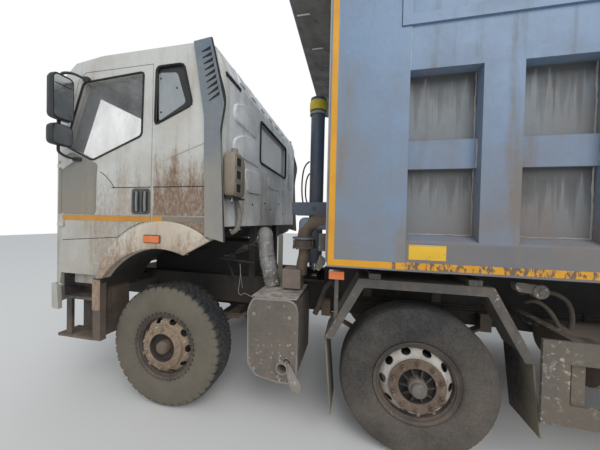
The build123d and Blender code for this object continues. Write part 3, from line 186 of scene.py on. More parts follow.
# %% [markdown]
# Most of this truck's finishes are one idea: a base colour, dulled by dust that lies
# thicker near the ground, with upright streaks where water ran, scuffs that show another
# colour, and a rough, uneven gloss. Extras give what lies far in from the sides a tone of
# its own, a darker dusty one in the bed's bays and on the cab a lighter one that is painted
# light on its rear wall; they darken the sill's upright face as painted shade, run dark
# drips down from an edge that are partly grime and partly painted shade under the rails,
# or splash mud over a stretch of the side. Rubber and plastic are plainer families.

# %% Paint, rubber and plastic
# Near-black of the marks that run down under the bed's rails, partly grime and partly painted shade.
DRIP_GRIME_AND_SHADE = (0.045, 0.04, 0.036)


def worn_paint(name, base, dust, chips, low, high, most, least, streaks, chipped, gloss, metal=0.0, depth=0.12,
               patch=1.6, deep=None, sill_painted_shade=None, drips_and_shade=(), splash=()):
    """Paint under dust, which falls from most at the height low to least at the height high."""
    f = Finish(name)
    broad, fine = f.noise(patch, 5.0, 0.6), f.noise(22.0, 6.0, 0.65)
    runs = f.noise(9.0, 5.0, 0.6, (1.0, 1.0, 0.09), 0.3)
    cloudy = f.add(f.ramp(f.axis("Z"), low, high, most, least), f.ramp(broad, 0.32, 0.68, -0.35, 0.35))
    lined = f.add(f.ramp(runs, 0.52, 0.72, 0.0, streaks), f.ramp(fine, 0.35, 0.7, -0.15, 0.15))
    amount = f.add(cloudy, lined)
    tone = f.mix(f.ramp(fine, 0.3, 0.7), tuple(c * 0.92 for c in base), tuple(min(1, c * 1.05) for c in base))
    # Below a height the paint turns dark slate: painted shade on the sill's upright face, under its lighter sloped top.
    if sill_painted_shade:
        tone = f.mix(f.ramp(f.axis("Z"), sill_painted_shade[1], sill_painted_shade[1] + 0.012, 0.85, 0.0), tone, sill_painted_shade[0])
    # What lies far in from the sides gets its own tone: a darker dusty one in the bed's bays, and on the cab a lighter
    # one that is painted light on the rear wall.
    if deep:
        tone = f.mix(f.ramp(f.outward(), deep[1], deep[2]), tone, deep[0])
    colour = f.mix(amount, tone, dust)
    # Dark marks run down from the given heights, only in the bays: partly grime streaks, partly painted shade under the
    # rails.
    if drips_and_shade:
        lines = f.noise(24.0, 4.0, 0.6, (1.0, 1.0, 0.05), 0.2)
        longest = f.ramp(lines, 0.35, 0.7, 0.02, 0.55)
        inside = f.ramp(f.outward(), deep[1], deep[2])
        for top in drips_and_shade:
            under = f.minus(top, f.axis("Z"))
            share = f.minus(1.0, f.calc("DIVIDE", under, longest))
            share = f.times(share, f.ramp(under, -0.004, 0.004))
            colour = f.mix(f.times(f.ramp(share, 0.0, 0.8, 0.0, 0.7), inside), colour, DRIP_GRIME_AND_SHADE)
    for mud, x_low, x_high, z_low, z_high, thickest in splash:
        speckle = f.noise(42.0, 7.0, 0.75, (1.0, 1.0, 0.45), 0.2)
        inside = f.times(f.ramp(f.axis("X"), x_low - 0.02, x_low + 0.02),
                         f.ramp(f.axis("X"), x_high, x_high + 0.02, 1.0, 0.0))
        height = f.minus(f.axis("Z"), f.ramp(runs, 0.35, 0.7, -0.1, 0.22))
        inside = f.times(inside, f.ramp(height, z_low, z_high, thickest, 0.0))
        inside = f.times(inside, f.ramp(f.outward(), 1.21, 1.235))
        share = f.add(inside, f.ramp(speckle, 0.38, 0.6, -0.45, 0.25))
        colour = f.mix(f.times(share, f.ramp(inside, 0.02, 0.2)), colour, mud)
    if chips:
        spots, region = f.noise(31.0, 8.0, 0.7), f.noise(3.1, 3.0, 0.5)
        edge = f.ramp(spots, 0.71 - chipped * 0.4, 0.76 - chipped * 0.4)
        colour = f.mix(f.times(edge, f.ramp(region, 0.42, 0.6)), colour, chips)
    return f.surface(fine, depth, Base_Color=colour, Roughness=f.ramp(amount, 0.0, 1.0, gloss, 0.92), Metallic=metal)


def rubber(name, base, dust, low, high, most, least, grain, wall=None):
    """Dull rubber with dust that thickens downwards and sits in a fine grain; wall dusts what is far out."""
    f = Finish(name)
    broad, fine = f.noise(3.0, 5.0, 0.6), f.noise(grain, 5.0, 0.7)
    cloudy = f.add(f.ramp(f.axis("Z"), low, high, most, least), f.ramp(broad, 0.3, 0.7, -0.3, 0.3))
    colour = f.mix(f.add(cloudy, f.ramp(fine, 0.3, 0.7, -0.2, 0.2)), base, dust)
    if wall:
        tone, y_low, y_high, thickest = wall
        share = f.times(f.ramp(f.outward(), y_low, y_high, 0.0, thickest), f.ramp(broad, 0.25, 0.6, 0.55, 1.0))
        colour = f.mix(share, colour, tone)
    return f.surface(fine, 0.25, 0.01, Base_Color=colour, Roughness=0.88)


def plastic(name, colour, rough, dust, share, grain=140.0):
    """Moulded plastic or cloth with a fine grain and a little dust."""
    f = Finish(name)
    fine, broad = f.noise(grain, 3.0, 0.6), f.noise(4.0, 5.0, 0.6)
    dusted = f.mix(f.ramp(broad, 0.4, 0.75, 0.0, share), colour, dust)
    return f.surface(fine, 0.15, 0.002, Base_Color=dusted,
                     Roughness=f.ramp(broad, 0.3, 0.7, rough - 0.08, rough + 0.15))


print("paint, rubber and plastic ready")

# %% [markdown]
# The other families are small. Glass is a clear film of dust; metal has a patchy film;
# lenses are ribbed. The perforated plate's holes are an even grid of dots painted dark as
# the shade inside them, and tape is scraped through to brown where stones hit it.

# %% Glass, metal, lenses, plate and tape
def glass(name, tint, share, by_x=(), rear=None):
    """Thin glass under a film of dust. by_x adds steps of density along X; rear is the rear window's tone."""
    f = Finish(name)
    film = f.noise(5.0, 6.0, 0.6, (1.0, 1.0, 0.5))
    if rear:
        tint = f.mix(f.ramp(f.axis("X"), 3.05, 3.1), rear, tint)
    clear = f.ramp(film, 0.35, 0.8, share, share + 0.18)
    for x_low, x_high, step in by_x:
        clear = f.add(clear, f.ramp(f.axis("X"), x_low, x_high, 0.0, step))
    return f.surface(Base_Color=f.mix(f.ramp(film, 0.35, 0.75, 0.0, 0.35), tint, (0.55, 0.52, 0.47)),
                     Roughness=f.ramp(film, 0.3, 0.8, 0.03, 0.25), Alpha=clear, Specular_IOR_Level=0.8)


def bare_metal(name, colour, rough, film, share):
    """Metal with a patchy film over it."""
    f = Finish(name)
    amount = f.ramp(f.noise(7.0, 6.0, 0.65), 0.42, 0.75, 0.0, share)
    return f.surface(Base_Color=f.mix(amount, colour, film), Roughness=f.ramp(amount, 0.0, share, rough, rough + 0.3),
                     Metallic=1.0)


def lamp_lens(name, colour, dust):
    """Ribbed, tinted lens."""
    f = Finish(name)
    ribs, film = f.noise(260.0, 1.0, 0.3, (1.0, 1.0, 0.15)), f.noise(9.0, 4.0, 0.6)
    return f.surface(ribs, 0.3, 0.004, Base_Color=f.mix(f.ramp(film, 0.45, 0.8, 0.0, 0.35), colour, dust),
                     Roughness=0.22, Coat_Weight=0.6)


def perforated(name, plate, hole, dirt, pitch):
    """Pale plate with rows of round holes, drawn from an even grid of dots; the holes are painted shade."""
    f = Finish(name)
    dots = f.node("TexVoronoi", Vector=f.stretched((1.0, 1.0, 0.02)), Scale=1.0 / pitch, Randomness=0.12)
    open_part = f.ramp(dots.outputs["Distance"], 0.3, 0.36, 1.0, 0.0)
    sheet = f.mix(f.ramp(f.noise(14.0, 5.0, 0.6), 0.35, 0.7), plate, dirt)
    return f.surface(open_part, -0.6, 0.01, Base_Color=f.mix(open_part, sheet, hole), Roughness=0.7)


def tape(name, colour, worn_colour, worn_from, worn_to):
    """Reflective tape, scraped through to brown more and more from one X to another."""
    f = Finish(name)
    fine, broad = f.noise(30.0, 6.0, 0.7, (1.0, 1.0, 0.45)), f.noise(5.0, 3.0, 0.5)
    worn = f.times(f.ramp(f.axis("X"), worn_from, worn_to, 0.0, 0.165), f.ramp(f.axis("Z"), 1.58, 1.44))
    scrape = f.ramp(f.minus(fine, f.minus(0.66, worn)), 0.0, 0.03)
    tone = f.mix(f.ramp(broad, 0.35, 0.7), colour, tuple(c * 0.82 for c in colour))
    return f.surface(fine, 0.1, Base_Color=f.mix(scrape, tone, worn_colour),
                     Roughness=f.ramp(scrape, 0.0, 1.0, 0.35, 0.85))


print("finish families ready")

# %% [markdown]
# Each row below is one real finish. The painted ones share a table; its columns are the
# base colour, the dust, the colour under chips, the two heights between which dust thins
# out and its amounts there, streaks, chipped share, gloss, and where they differ from plain
# paint metal, relief and the scale of the dust's clouds.

# %% The truck's finishes
MUD, PALE_DUST, OLD_IRON = (0.235, 0.17, 0.125), (0.46, 0.4, 0.335), (0.36, 0.34, 0.31)
painted = {
    "cab_white": ((0.57, 0.57, 0.54), (0.33, 0.275, 0.205), (0.28, 0.21, 0.15), 1, 2.9, 0.62, 0, 0.5, 0.08, 0.35),
    "bed_blue_grey": ((0.165, 0.25, 0.375), (0.215, 0.205, 0.2), (0.36, 0.38, 0.4), 1.2, 3, 0.78, 0, 0.5, 0.08, 0.4),
    "side_blue_grey": ((0.165, 0.25, 0.375), (0.2, 0.175, 0.16), (0.36, 0.38, 0.4), 1.2, 2.9, 0.85, 0, 0.55, 0.08, 0.4),
    "deflector_blue": ((0.135, 0.17, 0.21), (0.29, 0.265, 0.225), (0.35, 0.33, 0.3), 1.6, 2.75, 1.1, 0, 0.4, 0.05, 0.4),
    "frame_black": ((0.014, 0.014, 0.016), (0.075, 0.062, 0.05), None, 0.3, 1.4, 0.8, 0.2, 0.4, 0.12, 0.6),
    "engine_dark": ((0.012, 0.012, 0.013), (0.06, 0.05, 0.042), None, 0.3, 1.3, 0.8, 0.15, 0.4, 0.12, 0.65),
    "axle_iron": ((0.05, 0.045, 0.04), MUD, None, 0.2, 1.1, 0.9, 0.5, 0.4, 0.12, 0.7, 0, 0.4),
    "fender_taupe": ((0.062, 0.06, 0.058), (0.165, 0.135, 0.108), OLD_IRON,
                     0.3, 1.7, 0.75, 0.25, 0.5, 0.3, 0.6, 0, 0.4, 3),
    "silencer_taupe": ((0.125, 0.105, 0.088), (0.205, 0.168, 0.136), (0.58, 0.53, 0.47),
                       0.3, 1.2, 0.55, 0.2, 0.4, 0.3, 0.6, 0, 0.45, 4),
    "pipe_brown": ((0.16, 0.11, 0.075), (0.27, 0.215, 0.16), (0.3, 0.22, 0.15),
                   0.8, 2, 0.6, 0.2, 0.4, 0.12, 0.65, 0.4, 0.5, 5),
    "guard_white": ((0.105, 0.095, 0.08), (0.17, 0.135, 0.1), (0.52, 0.49, 0.43),
                    0.3, 1.3, 0.7, 0.2, 0.4, 0.38, 0.6, 0, 0.45, 3.5),
    "tank_grey": ((0.12, 0.12, 0.12), MUD, None, 0.3, 1.2, 0.8, 0.4, 0.4, 0.12, 0.55),
    "step_black": ((0.025, 0.025, 0.025), MUD, None, 0.4, 1.3, 0.6, 0.15, 0.4, 0.12, 0.6),
    "hoist_navy": ((0.1, 0.13, 0.18), (0.2, 0.19, 0.175), None, 1, 3.4, 0.45, 0.1, 0.4, 0.12, 0.3),
    "wheel_rust": ((0.16, 0.095, 0.06), (0.23, 0.165, 0.12), (0.34, 0.3, 0.26),
                   0.2, 1, 0.6, 0.35, 0.4, 0.3, 0.75, 0, 0.5, 6),
    "wheel_pale": ((0.55, 0.52, 0.48), (0.24, 0.185, 0.14), (0.25, 0.16, 0.1),
                   0.2, 1.1, 0.45, 0.15, 0.4, 0.25, 0.6, 0, 0.3, 7),
    "rim_dark": ((0.045, 0.038, 0.033), (0.15, 0.115, 0.09), (0.34, 0.29, 0.24),
                 0.2, 1, 0.6, 0.25, 0.4, 0.22, 0.7, 0, 0.4, 6),
    "disc_tan": ((0.31, 0.225, 0.15), (0.2, 0.145, 0.1), (0.5, 0.46, 0.4),
                 0.3, 0.85, 0.7, 0.1, 0.4, 0.35, 0.75, 0, 0.5, 8),
    "cap_grey": ((0.2, 0.19, 0.18), (0.16, 0.125, 0.1), (0.4, 0.38, 0.35),
                 0.3, 0.8, 0.6, 0.15, 0.4, 0.2, 0.5, 0.3, 0.12, 9),
    "hub_brown": ((0.13, 0.085, 0.06), (0.25, 0.19, 0.145), (0.33, 0.27, 0.22),
                  0.2, 1, 0.6, 0.35, 0.4, 0.3, 0.7, 0.3, 0.5, 8),
    "can_plastic": ((0.3, 0.265, 0.21), (0.2, 0.16, 0.12), None, 1.8, 2.4, 0.7, 0.3, 0.4, 0.12, 0.5, 0, 0.2, 6),
    "flare_plastic": ((0.66, 0.6, 0.51), (0.36, 0.25, 0.16), None, 1.15, 1.72, 0.62, 0.08, 0.5, 0.12, 0.5),
    "scuffed_steel": ((0.3, 0.27, 0.24), (0.22, 0.185, 0.155), (0.52, 0.49, 0.45),
                      0.3, 1.2, 0.4, 0.2, 0.4, 0.28, 0.55, 0, 0.4, 9),
    "foil_lagging": ((0.42, 0.42, 0.41), (0.17, 0.145, 0.12), (0.62, 0.61, 0.58),
                     0.8, 2.2, 0.65, 0.2, 0.6, 0.35, 0.45, 0.3, 0.8, 6),
    "box_taupe": ((0.22, 0.17, 0.145), (0.26, 0.21, 0.17), (0.36, 0.31, 0.27),
                  0.9, 1.4, 0.5, 0.2, 0.4, 0.2, 0.75, 0, 0.6, 9),
    "pale_edge": ((0.42, 0.41, 0.38), (0.24, 0.21, 0.18), (0.2, 0.2, 0.22), 1.3, 2.4, 0.6, 0.2, 0.4, 0.2, 0.6),
    "stained_steel": ((0.2, 0.185, 0.165), (0.11, 0.1, 0.09), (0.3, 0.28, 0.25),
                      2, 3.4, 0.5, 0.3, 0.6, 0.2, 0.5, 0, 0.3, 6),
    "yellow_paint": ((0.86, 0.66, 0.02), (0.45, 0.36, 0.12), (0.12, 0.1, 0.08), 2.4, 3.4, 0.3, 0, 0.4, 0.12, 0.45),
    "corner_grey": ((0.19, 0.2, 0.19), (0.3, 0.25, 0.19), (0.34, 0.34, 0.32), 1.5, 2.5, 0.75, 0.2, 0.5, 0.1, 0.5),
    "stripe_brown": ((0.17, 0.145, 0.12), (0.27, 0.22, 0.16), (0.4, 0.37, 0.32), 1.4, 1.9, 0.6, 0.3, 0.4, 0.12, 0.6),
}
extras = {
    # The cab's inner tone is painted light: lighter paint meant for the rear wall, which lightens the roof and the
    # front with it.
    "cab_white": {"deep": ((0.76, 0.78, 0.79), 1.19, 1.1),
                  "splash": (((0.2, 0.125, 0.08), 3.1, 3.62, 1.94, 2.22, 0.95),
                             ((0.3, 0.23, 0.17), 3.64, 4.25, 1.72, 2.12, 0.42))},
    # On the bed's sides the sill tone is painted shade on the sill's upright face; the inner tone is dust in the bays.
    "side_blue_grey": {"deep": ((0.165, 0.195, 0.215), 1.2, 1.18), "sill_painted_shade": ((0.085, 0.105, 0.135), 1.568),
                       # The marks below the rails are grime streaks and painted shade under the rails.
                       "drips_and_shade": (2.705, 2.068)},
    "flare_plastic": {"splash": (((0.23, 0.15, 0.1), 3.0, 4.3, 1.25, 1.6, 0.65),)},
}
for name, row in painted.items():
    worn_paint(name, *row, **extras.get(name, {}))
for row in (
    ("tyre_rubber", (0.028, 0.028, 0.029), (0.15, 0.125, 0.1), 0, 1.1, 0.66, 0.2, 60),
    ("tyre_muddy", (0.022, 0.023, 0.026), (0.12, 0.105, 0.09), 0, 1.1, 0.55, 0.12, 60,
     ((0.172, 0.147, 0.108), 1.116, 1.132, 0.85)),
    ("flap_rubber", (0.02, 0.02, 0.02), (0.15, 0.12, 0.095), 0.2, 1.2, 0.6, 0.15, 30,
     ((0.26, 0.225, 0.165), 1.04, 1.2, 0.85)),
    ("hose_dusty", (0.1, 0.09, 0.078), (0.23, 0.195, 0.15), 0.7, 1.3, 0.8, 0.4, 50),
    ("seal_rubber", (0.012, 0.012, 0.012), (0.09, 0.08, 0.07), 1.4, 3, 0.4, 0.1, 90),
    ("hose_black", (0.02, 0.02, 0.021), (0.12, 0.1, 0.08), 0.5, 3.2, 0.6, 0.1, 50),
    ("arch_liner", (0.012, 0.012, 0.013), (0.06, 0.05, 0.04), 0.9, 1.5, 0.6, 0.2, 40),
):
    rubber(*row)
for row in (
    ("trim_plastic", (0.045, 0.045, 0.048), 0.6, (0.2, 0.17, 0.14), 0.3),
    ("mirror_black", (0.02, 0.02, 0.021), 0.5, (0.12, 0.11, 0.1), 0.25),
    # Near-black for soot, cracks and dark joints, and also painted shade: the gaps under the deflectors' louvres, the
    # door handle pockets and a slot under the roof's edge.
    ("soot", (0.012, 0.011, 0.01), 0.8, (0.05, 0.04, 0.035), 0.5),
    # Near-white for the canopy's slits: painted sky light seen through them.
    ("slit_light", (0.85, 0.86, 0.86), 0.5, (0.6, 0.6, 0.58), 0.2),
    ("window_band", (0.012, 0.012, 0.013), 0.35, (0.1, 0.09, 0.08), 0.3),
    ("handle_grey", (0.05, 0.057, 0.062), 0.45, (0.2, 0.18, 0.15), 0.4),
    ("handle_bar", (0.2, 0.21, 0.2), 0.4, (0.25, 0.22, 0.18), 0.4),
    ("seat_cloth", (0.11, 0.115, 0.125), 0.85, (0.26, 0.22, 0.17), 0.45, 300),
    ("bunk_cloth", (0.23, 0.21, 0.19), 0.85, (0.3, 0.26, 0.21), 0.45, 300),
    ("wire_white", (0.5, 0.48, 0.44), 0.5, (0.25, 0.2, 0.16), 0.5),
):
    plastic(*row)
glass("window_glass", (0.3, 0.32, 0.33), 0.05)
glass("rear_glass", (0.33, 0.37, 0.4), 0.5, ((3.05, 3.15, 0.12), (3.9, 4.1, -0.57)), (0.9, 0.91, 0.92))
bare_metal("chrome_stage", (0.72, 0.72, 0.73), 0.12, (0.3, 0.25, 0.2), 0.3)
bare_metal("mirror_glass", (0.72, 0.75, 0.78), 0.1, (0.3, 0.28, 0.25), 0.3)
lamp_lens("amber_lens", (0.75, 0.16, 0.02), PALE_DUST)
# The holes' near-black is painted shade inside them.
perforated("perforated_plate", (0.5, 0.47, 0.44), (0.02, 0.017, 0.015), MUD, 0.034)
tape("yellow_tape", (0.74, 0.34, 0.012), (0.16, 0.11, 0.08), 2.0, 1.6)
tape("bright_tape", (0.78, 0.47, 0.03), (0.25, 0.15, 0.07), 1.7, 1.2)
tape("stripe_orange", (0.6, 0.27, 0.03), (0.3, 0.2, 0.12), 3.9, 3.4)
print("finishes:", len(FINISHES))

# %% [markdown]
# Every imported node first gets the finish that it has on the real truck. Nodes that get
# a finer surface later keep theirs too, so nothing is ever left bare.

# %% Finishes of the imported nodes
def finish(piece, names):
    """Gives a piece its finishes, named in order in one string."""
    if piece.data.materials:
        piece.data.materials.clear()
    for name in names.split():
        piece.data.materials.append(FINISHES[name])


def corners(stem, *numbers):
    """Names of the nodes of some axles' corners, as one string."""
    return " ".join(f"{stem}_{number}_{word}" for number in numbers for word, _ in SIDES) + " "


node_finish = {
    "frame_black": "frame_rails subframe",
    "axle_iron": "steer_axles drive_axles leaf_springs " + corners("knuckle", 1, 2),
    "engine_dark": "drivetrain",
    "cab_white": "bumper cab_body front_lid door_left door_right",
    "amber_lens": "lamps",
    "step_black": "cab_steps",
    "silencer_taupe": "silencer",
    "pipe_brown": "exhaust_pipes",
    "fender_taupe": "fenders",
    "flap_rubber": "mud_flaps",
    "guard_white": "side_guards",
    "tank_grey": "tanks",
    "hoist_navy": "hoist_cover",
    "chrome_stage": "hoist_stage_1 hoist_stage_2 hoist_rod",
    "bed_blue_grey": "bed_floor bed_front_wall extension_boards canopy tailgate",
    "side_blue_grey": "bed_sides",
    "rear_glass": "cab_glass",
    "window_glass": "door_glass_left door_glass_right",
    "deflector_blue": "deflectors",
    "flare_plastic": "arch_flares",
    "trim_plastic": "cab_interior",
    "can_plastic": "jerrycan",
    "mirror_black": "mirror_left mirror_right",
    "wheel_rust": corners("wheel", 1),
    "wheel_pale": corners("wheel", 2) + corners("wheels", 3, 4),
    "tyre_rubber": corners("tyre", 1, 2) + corners("tyres", 3, 4),
}
for material_name, node_names in node_finish.items():
    for name in node_names.split():
        finish(nodes[name], material_name)
print("finished nodes:", sum(len(names.split()) for names in node_finish.values()))

# %% [markdown]
# A pale floor and soft, even light show the shapes without hiding them. The world gives
# most of the light; a large lamp high on the left front adds soft shadows.

# %% Floor and light
def add_object(name, data):
    """Links a mesh or a curve as an object at the origin."""
    piece = bpy.data.objects.new(name, data)
    bpy.context.scene.collection.objects.link(piece)
    return piece


FLOOR_HALF, FLOOR_Z = 30.0, -0.001
floor_mesh = bpy.data.meshes.new("floor")
floor_mesh.from_pydata([(x * FLOOR_HALF, y * FLOOR_HALF, FLOOR_Z) for x, y in ((-1, -1), (1, -1), (1, 1), (-1, 1))],
                       [], [(0, 1, 2, 3)])
floor = add_object("floor", floor_mesh)
Finish("pale_floor").surface(Base_Color=(0.72, 0.71, 0.69), Roughness=0.9)
finish(floor, "pale_floor")

world = bpy.data.worlds.new("soft_sky")
bpy.context.scene.world = world
world.use_nodes = True
world.node_tree.nodes.clear()


def world_node(kind, **values):
    """New node in the world's tree, with inputs set to values or linked to sockets."""
    node = world.node_tree.nodes.new("ShaderNode" + kind)
    for name, value in values.items():
        slot = node.inputs[int(name[1:])] if name[0] == "n" else node.inputs[name]
        if isinstance(value, (tuple, float)):
            slot.default_value = value
        else:
            world.node_tree.links.new(value, slot)
    return node


sky = world_node("Background", Color=(0.9, 0.95, 1.0, 1.0), Strength=0.74)
backdrop = world_node("Background", Color=(1.0, 1.0, 1.0, 1.0), Strength=1.0)
seen = world_node("LightPath").outputs["Is Camera Ray"]
either = world_node("MixShader", Fac=seen, n1=sky.outputs["Background"], n2=backdrop.outputs["Background"])
world_node("OutputWorld", Surface=either.outputs["Shader"])

key_data = bpy.data.lights.new("soft_key", "AREA")
key_data.energy, key_data.size = 850.0, 9.0
key_place = np.array([-3.0, 10.0, 10.0])
aim = np.array([1.5, 0.0, 1.2]) - key_place
aim = aim / np.linalg.norm(aim)
across = np.cross(aim, up) / np.linalg.norm(np.cross(aim, up))
place_object("soft_key", key_data, key_place, across, np.cross(across, aim), -aim)
print("light and floor ready")

# %% [markdown]
# New pieces are surfaces worked out with arrays: a grid of points from two parameters,
# a profile turned about a wheel's axis, or a ring carried along a path. Shape gathers
# several of them with a finish number each. Turned forms and tubes close at the radius
# POINT. Edges sharper than about 35 degrees stay crisp, the rest is smooth.

# %% Surface helpers
POINT = 1e-5


class Shape:
    """Points and faces of several simple forms, gathered for one mesh."""

    def __init__(self):
        self.points, self.faces, self.kinds, self.count = [], [], [], 0

    def add(self, points, faces, kind=0):
        """Adds points (any shape ending in 3) and faces as lists of point numbers."""
        points = np.asarray(points, dtype=float).reshape(-1, 3)
        self.points.append(points)
        self.faces += [[int(i) + self.count for i in face] for face in faces]
        self.kinds += [kind] * len(faces)
        self.count += len(points)
        return self

    def grid(self, points, kind=0, wrap_u=False, wrap_v=False):
        """Quads over an array of points with rows, columns and x, y, z."""
        rows, columns = points.shape[:2]
        i, j = np.meshgrid(np.arange(rows if wrap_u else rows - 1),
                           np.arange(columns if wrap_v else columns - 1), indexing="ij")
        i1, j1 = (i + 1) % rows, (j + 1) % columns
        quads = np.stack([i * columns + j, i1 * columns + j, i1 * columns + j1, i * columns + j1], axis=-1)
        return self.add(points, quads.reshape(-1, 4).tolist(), kind)

    def revolve(self, profile, centre, kind=0, steps=64, axis="y", turn=0.0):
        """Turns (radius, along) pairs about an axis through centre."""
        profile = np.asarray(profile, dtype=float)
        angle = np.linspace(0.0, 2 * math.pi, steps, endpoint=False)[:, None] + turn
        a, b = profile[:, 0] * np.cos(angle), profile[:, 0] * np.sin(angle)
        c = np.broadcast_to(profile[:, 1], a.shape)
        stack = {"y": (a, c, b), "x": (c, a, b), "z": (a, b, c)}[axis]
        return self.grid(np.stack(stack, axis=-1) + np.asarray(centre, dtype=float), kind, wrap_u=True)

    def tube(self, path, radius, kind=0, sides=16):
        """Ring of a radius, or of one radius a point, carried along a path of points, shut at both ends."""
        path = np.asarray(path, dtype=float)
        radius = np.broadcast_to(np.asarray(radius, dtype=float), (len(path),)).copy()
        path = np.vstack([path[:1], path, path[-1:]])
        radius = np.concatenate([[POINT], radius, [POINT]])
        way = np.gradient(path, axis=0)
        way /= np.maximum(np.linalg.norm(way, axis=1, keepdims=True), 1e-9)
        way[0], way[-1] = way[1], way[-2]
        side = np.cross(way[0], (0.0, 0.0, 1.0) if abs(way[0][2]) < 0.9 else (0.0, 1.0, 0.0))
        sides_list = []
        for direction in way:
            side = side - direction * np.dot(side, direction)
            side = side / np.linalg.norm(side)
            sides_list.append(side)
        across = np.array(sides_list)
        third = np.cross(way, across)
        turn = np.linspace(0, 2 * math.pi, sides, endpoint=False)
        ring = across[:, None] * np.cos(turn)[None, :, None] + third[:, None] * np.sin(turn)[None, :, None]
        return self.grid(path[:, None] + ring * radius[:, None, None], kind, wrap_v=True)

    def closed(self, layers, kind=0):
        """Form between two outlines with as many points each, with both ends shut."""
        n = len(layers[0])
        faces = [list(range(n)), list(range(n, 2 * n))[::-1]]
        faces += [[i, i + n, (i + 1) % n + n, (i + 1) % n] for i in range(n)]
        return self.add(np.vstack(layers), faces, kind)

    def box(self, low, high, kind=0):
        """Rectangular block."""
        (x0, y0, z0), (x1, y1, z1) = low, high
        return self.closed([[(x0, y0, z), (x1, y0, z), (x1, y1, z), (x0, y1, z)] for z in (z0, z1)], kind)

    def prism(self, outline, low, high, kind=0, axis="y"):
        """Outline in the two other coordinates, drawn out along an axis."""
        return self.closed([level_outline(outline, level, axis) for level in (low, high)], kind)

    def mirror(self):
        """Mirror image in the truck's middle plane, as a new shape."""
        return Shape().also(self, (1, -1, 1))

    def also(self, other, scale=(1, 1, 1)):
        """Adds the forms of another shape, each point multiplied by scale."""
        kinds = self.kinds + other.kinds
        self.add(np.vstack(other.points) * scale, list(other.faces))
        self.kinds = kinds
        return self


print("shape ready")

# %% [markdown]
# make turns a gathered shape into one object, merges points that lie on each other,
# gives it its finishes, hangs it on the empty of the body it rides on and hides the
# imported nodes it stands in for. Nearly everything on wheels and cab comes in pairs, so
# pair makes a left form and its mirror image.

# %% Pieces and pairs
MERGE, BEVEL_FROM = 2e-5, 40.0


def level_outline(outline, level, axis="y"):
    """Points of a flat outline in the two other coordinates, at one level of an axis."""
    a, b = np.asarray(outline, dtype=float).T
    c = np.full(len(a), level)
    return np.stack({"y": (a, c, b), "x": (c, a, b), "z": (a, b, c)}[axis], axis=-1)


def make(name, shape, finishes, body, slot, hides="", bevel=0.0, crisp=35.0):
    """Makes the gathered shape one object on a body, with its finishes in order, in place of the hidden nodes."""
    mesh = bpy.data.meshes.new(name)
    mesh.from_pydata(np.vstack(shape.points).tolist(), [], shape.faces)
    mesh.polygons.foreach_set("material_index", np.array(shape.kinds, dtype=np.int32))
    work = bmesh.new()
    work.from_mesh(mesh)
    bmesh.ops.remove_doubles(work, verts=work.verts, dist=MERGE)
    bmesh.ops.recalc_face_normals(work, faces=work.faces)
    work.to_mesh(mesh)
    work.free()
    mesh.polygons.foreach_set("use_smooth", np.ones(len(mesh.polygons), dtype=bool))
    mesh.set_sharp_from_angle(angle=math.radians(crisp))
    piece = add_object(name, mesh)
    finish(piece, finishes)
    if bevel:
        edge = piece.modifiers.new("edge", "BEVEL")
        edge.width, edge.segments = bevel, 2
        edge.limit_method, edge.angle_limit = "ANGLE", math.radians(BEVEL_FROM)
    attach(piece, body)
    if hides:
        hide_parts(*hides.split())
    return piece


def pair(name, shape, finishes, body, slot, hides="", **look):
    """Makes a left form and its mirror image; {} in a name stands for left or right."""
    return [make(name.format(word), form, finishes, body.format(word), slot, hides.format(word), **look)
            for word, form in (("left", shape), ("right", shape.mirror()))]


print("pieces and pairs ready")

# %% [markdown]
# A tyre is a ring: a section carried round the axle. The section runs from bead to bead
# through a bulging side, a worn shoulder and a nearly flat crown. The tread is cut into
# it by pulling points inwards: along circles for zigzag grooves, and across the shoulder
# for the gaps between blocks. The first axle has an open block tread with mud in it; the
# other axles carry a worn road tread. The sides carry plain rings and a fine ribbed band.

# %% Tyres
def smooth_step(value, low, high):
    """Rises from 0 at low to 1 at high with level ends."""
    t = np.clip((value - low) / (high - low), 0.0, 1.0)
    return t * t * (3.0 - 2.0 * t)


def along(points, count):
    """Smooth path through a few points, by natural cubic steps on their chord length."""
    points = np.asarray(points, dtype=float)
    gap = np.concatenate([[0.0], np.cumsum(np.linalg.norm(np.diff(points, axis=0), axis=1))])
    slope = np.gradient(points, gap, axis=0)
    s = np.linspace(0.0, gap[-1], count)
    k = np.clip(np.searchsorted(gap, s, side="right") - 1, 0, len(gap) - 2)
    width = (gap[k + 1] - gap[k])[:, None]
    t = ((s - gap[k]) / (gap[k + 1] - gap[k]))[:, None]
    h00, h10 = 2 * t**3 - 3 * t**2 + 1, t**3 - 2 * t**2 + t
    h01, h11 = -2 * t**3 + 3 * t**2, t**3 - t**2
    return h00 * points[k] + h10 * width * slope[k] + h01 * points[k + 1] + h11 * width * slope[k + 1]


AXLE_X = {1: 3.6, 2: 1.5, 3: -1.55, 4: -2.9}
AXLE_UP, STEER_MID, TWIN_IN, TWIN_OUT = 0.548, 1.01, 0.765, 1.095
TYRE_HALF = np.array([
    (0.0, 0.548), (0.04, 0.5477), (0.08, 0.546), (0.104, 0.54), (0.118, 0.53), (0.127, 0.512),
    (0.132, 0.498), (0.14, 0.465), (0.145, 0.425), (0.1445, 0.385), (0.1385, 0.345), (0.129, 0.318),
    (0.12, 0.306), (0.112, 0.302), (0.111, 0.27),
])
TYRE_SECTION = np.vstack([TYRE_HALF[::-1] * (-1, 1), TYRE_HALF[1:]])


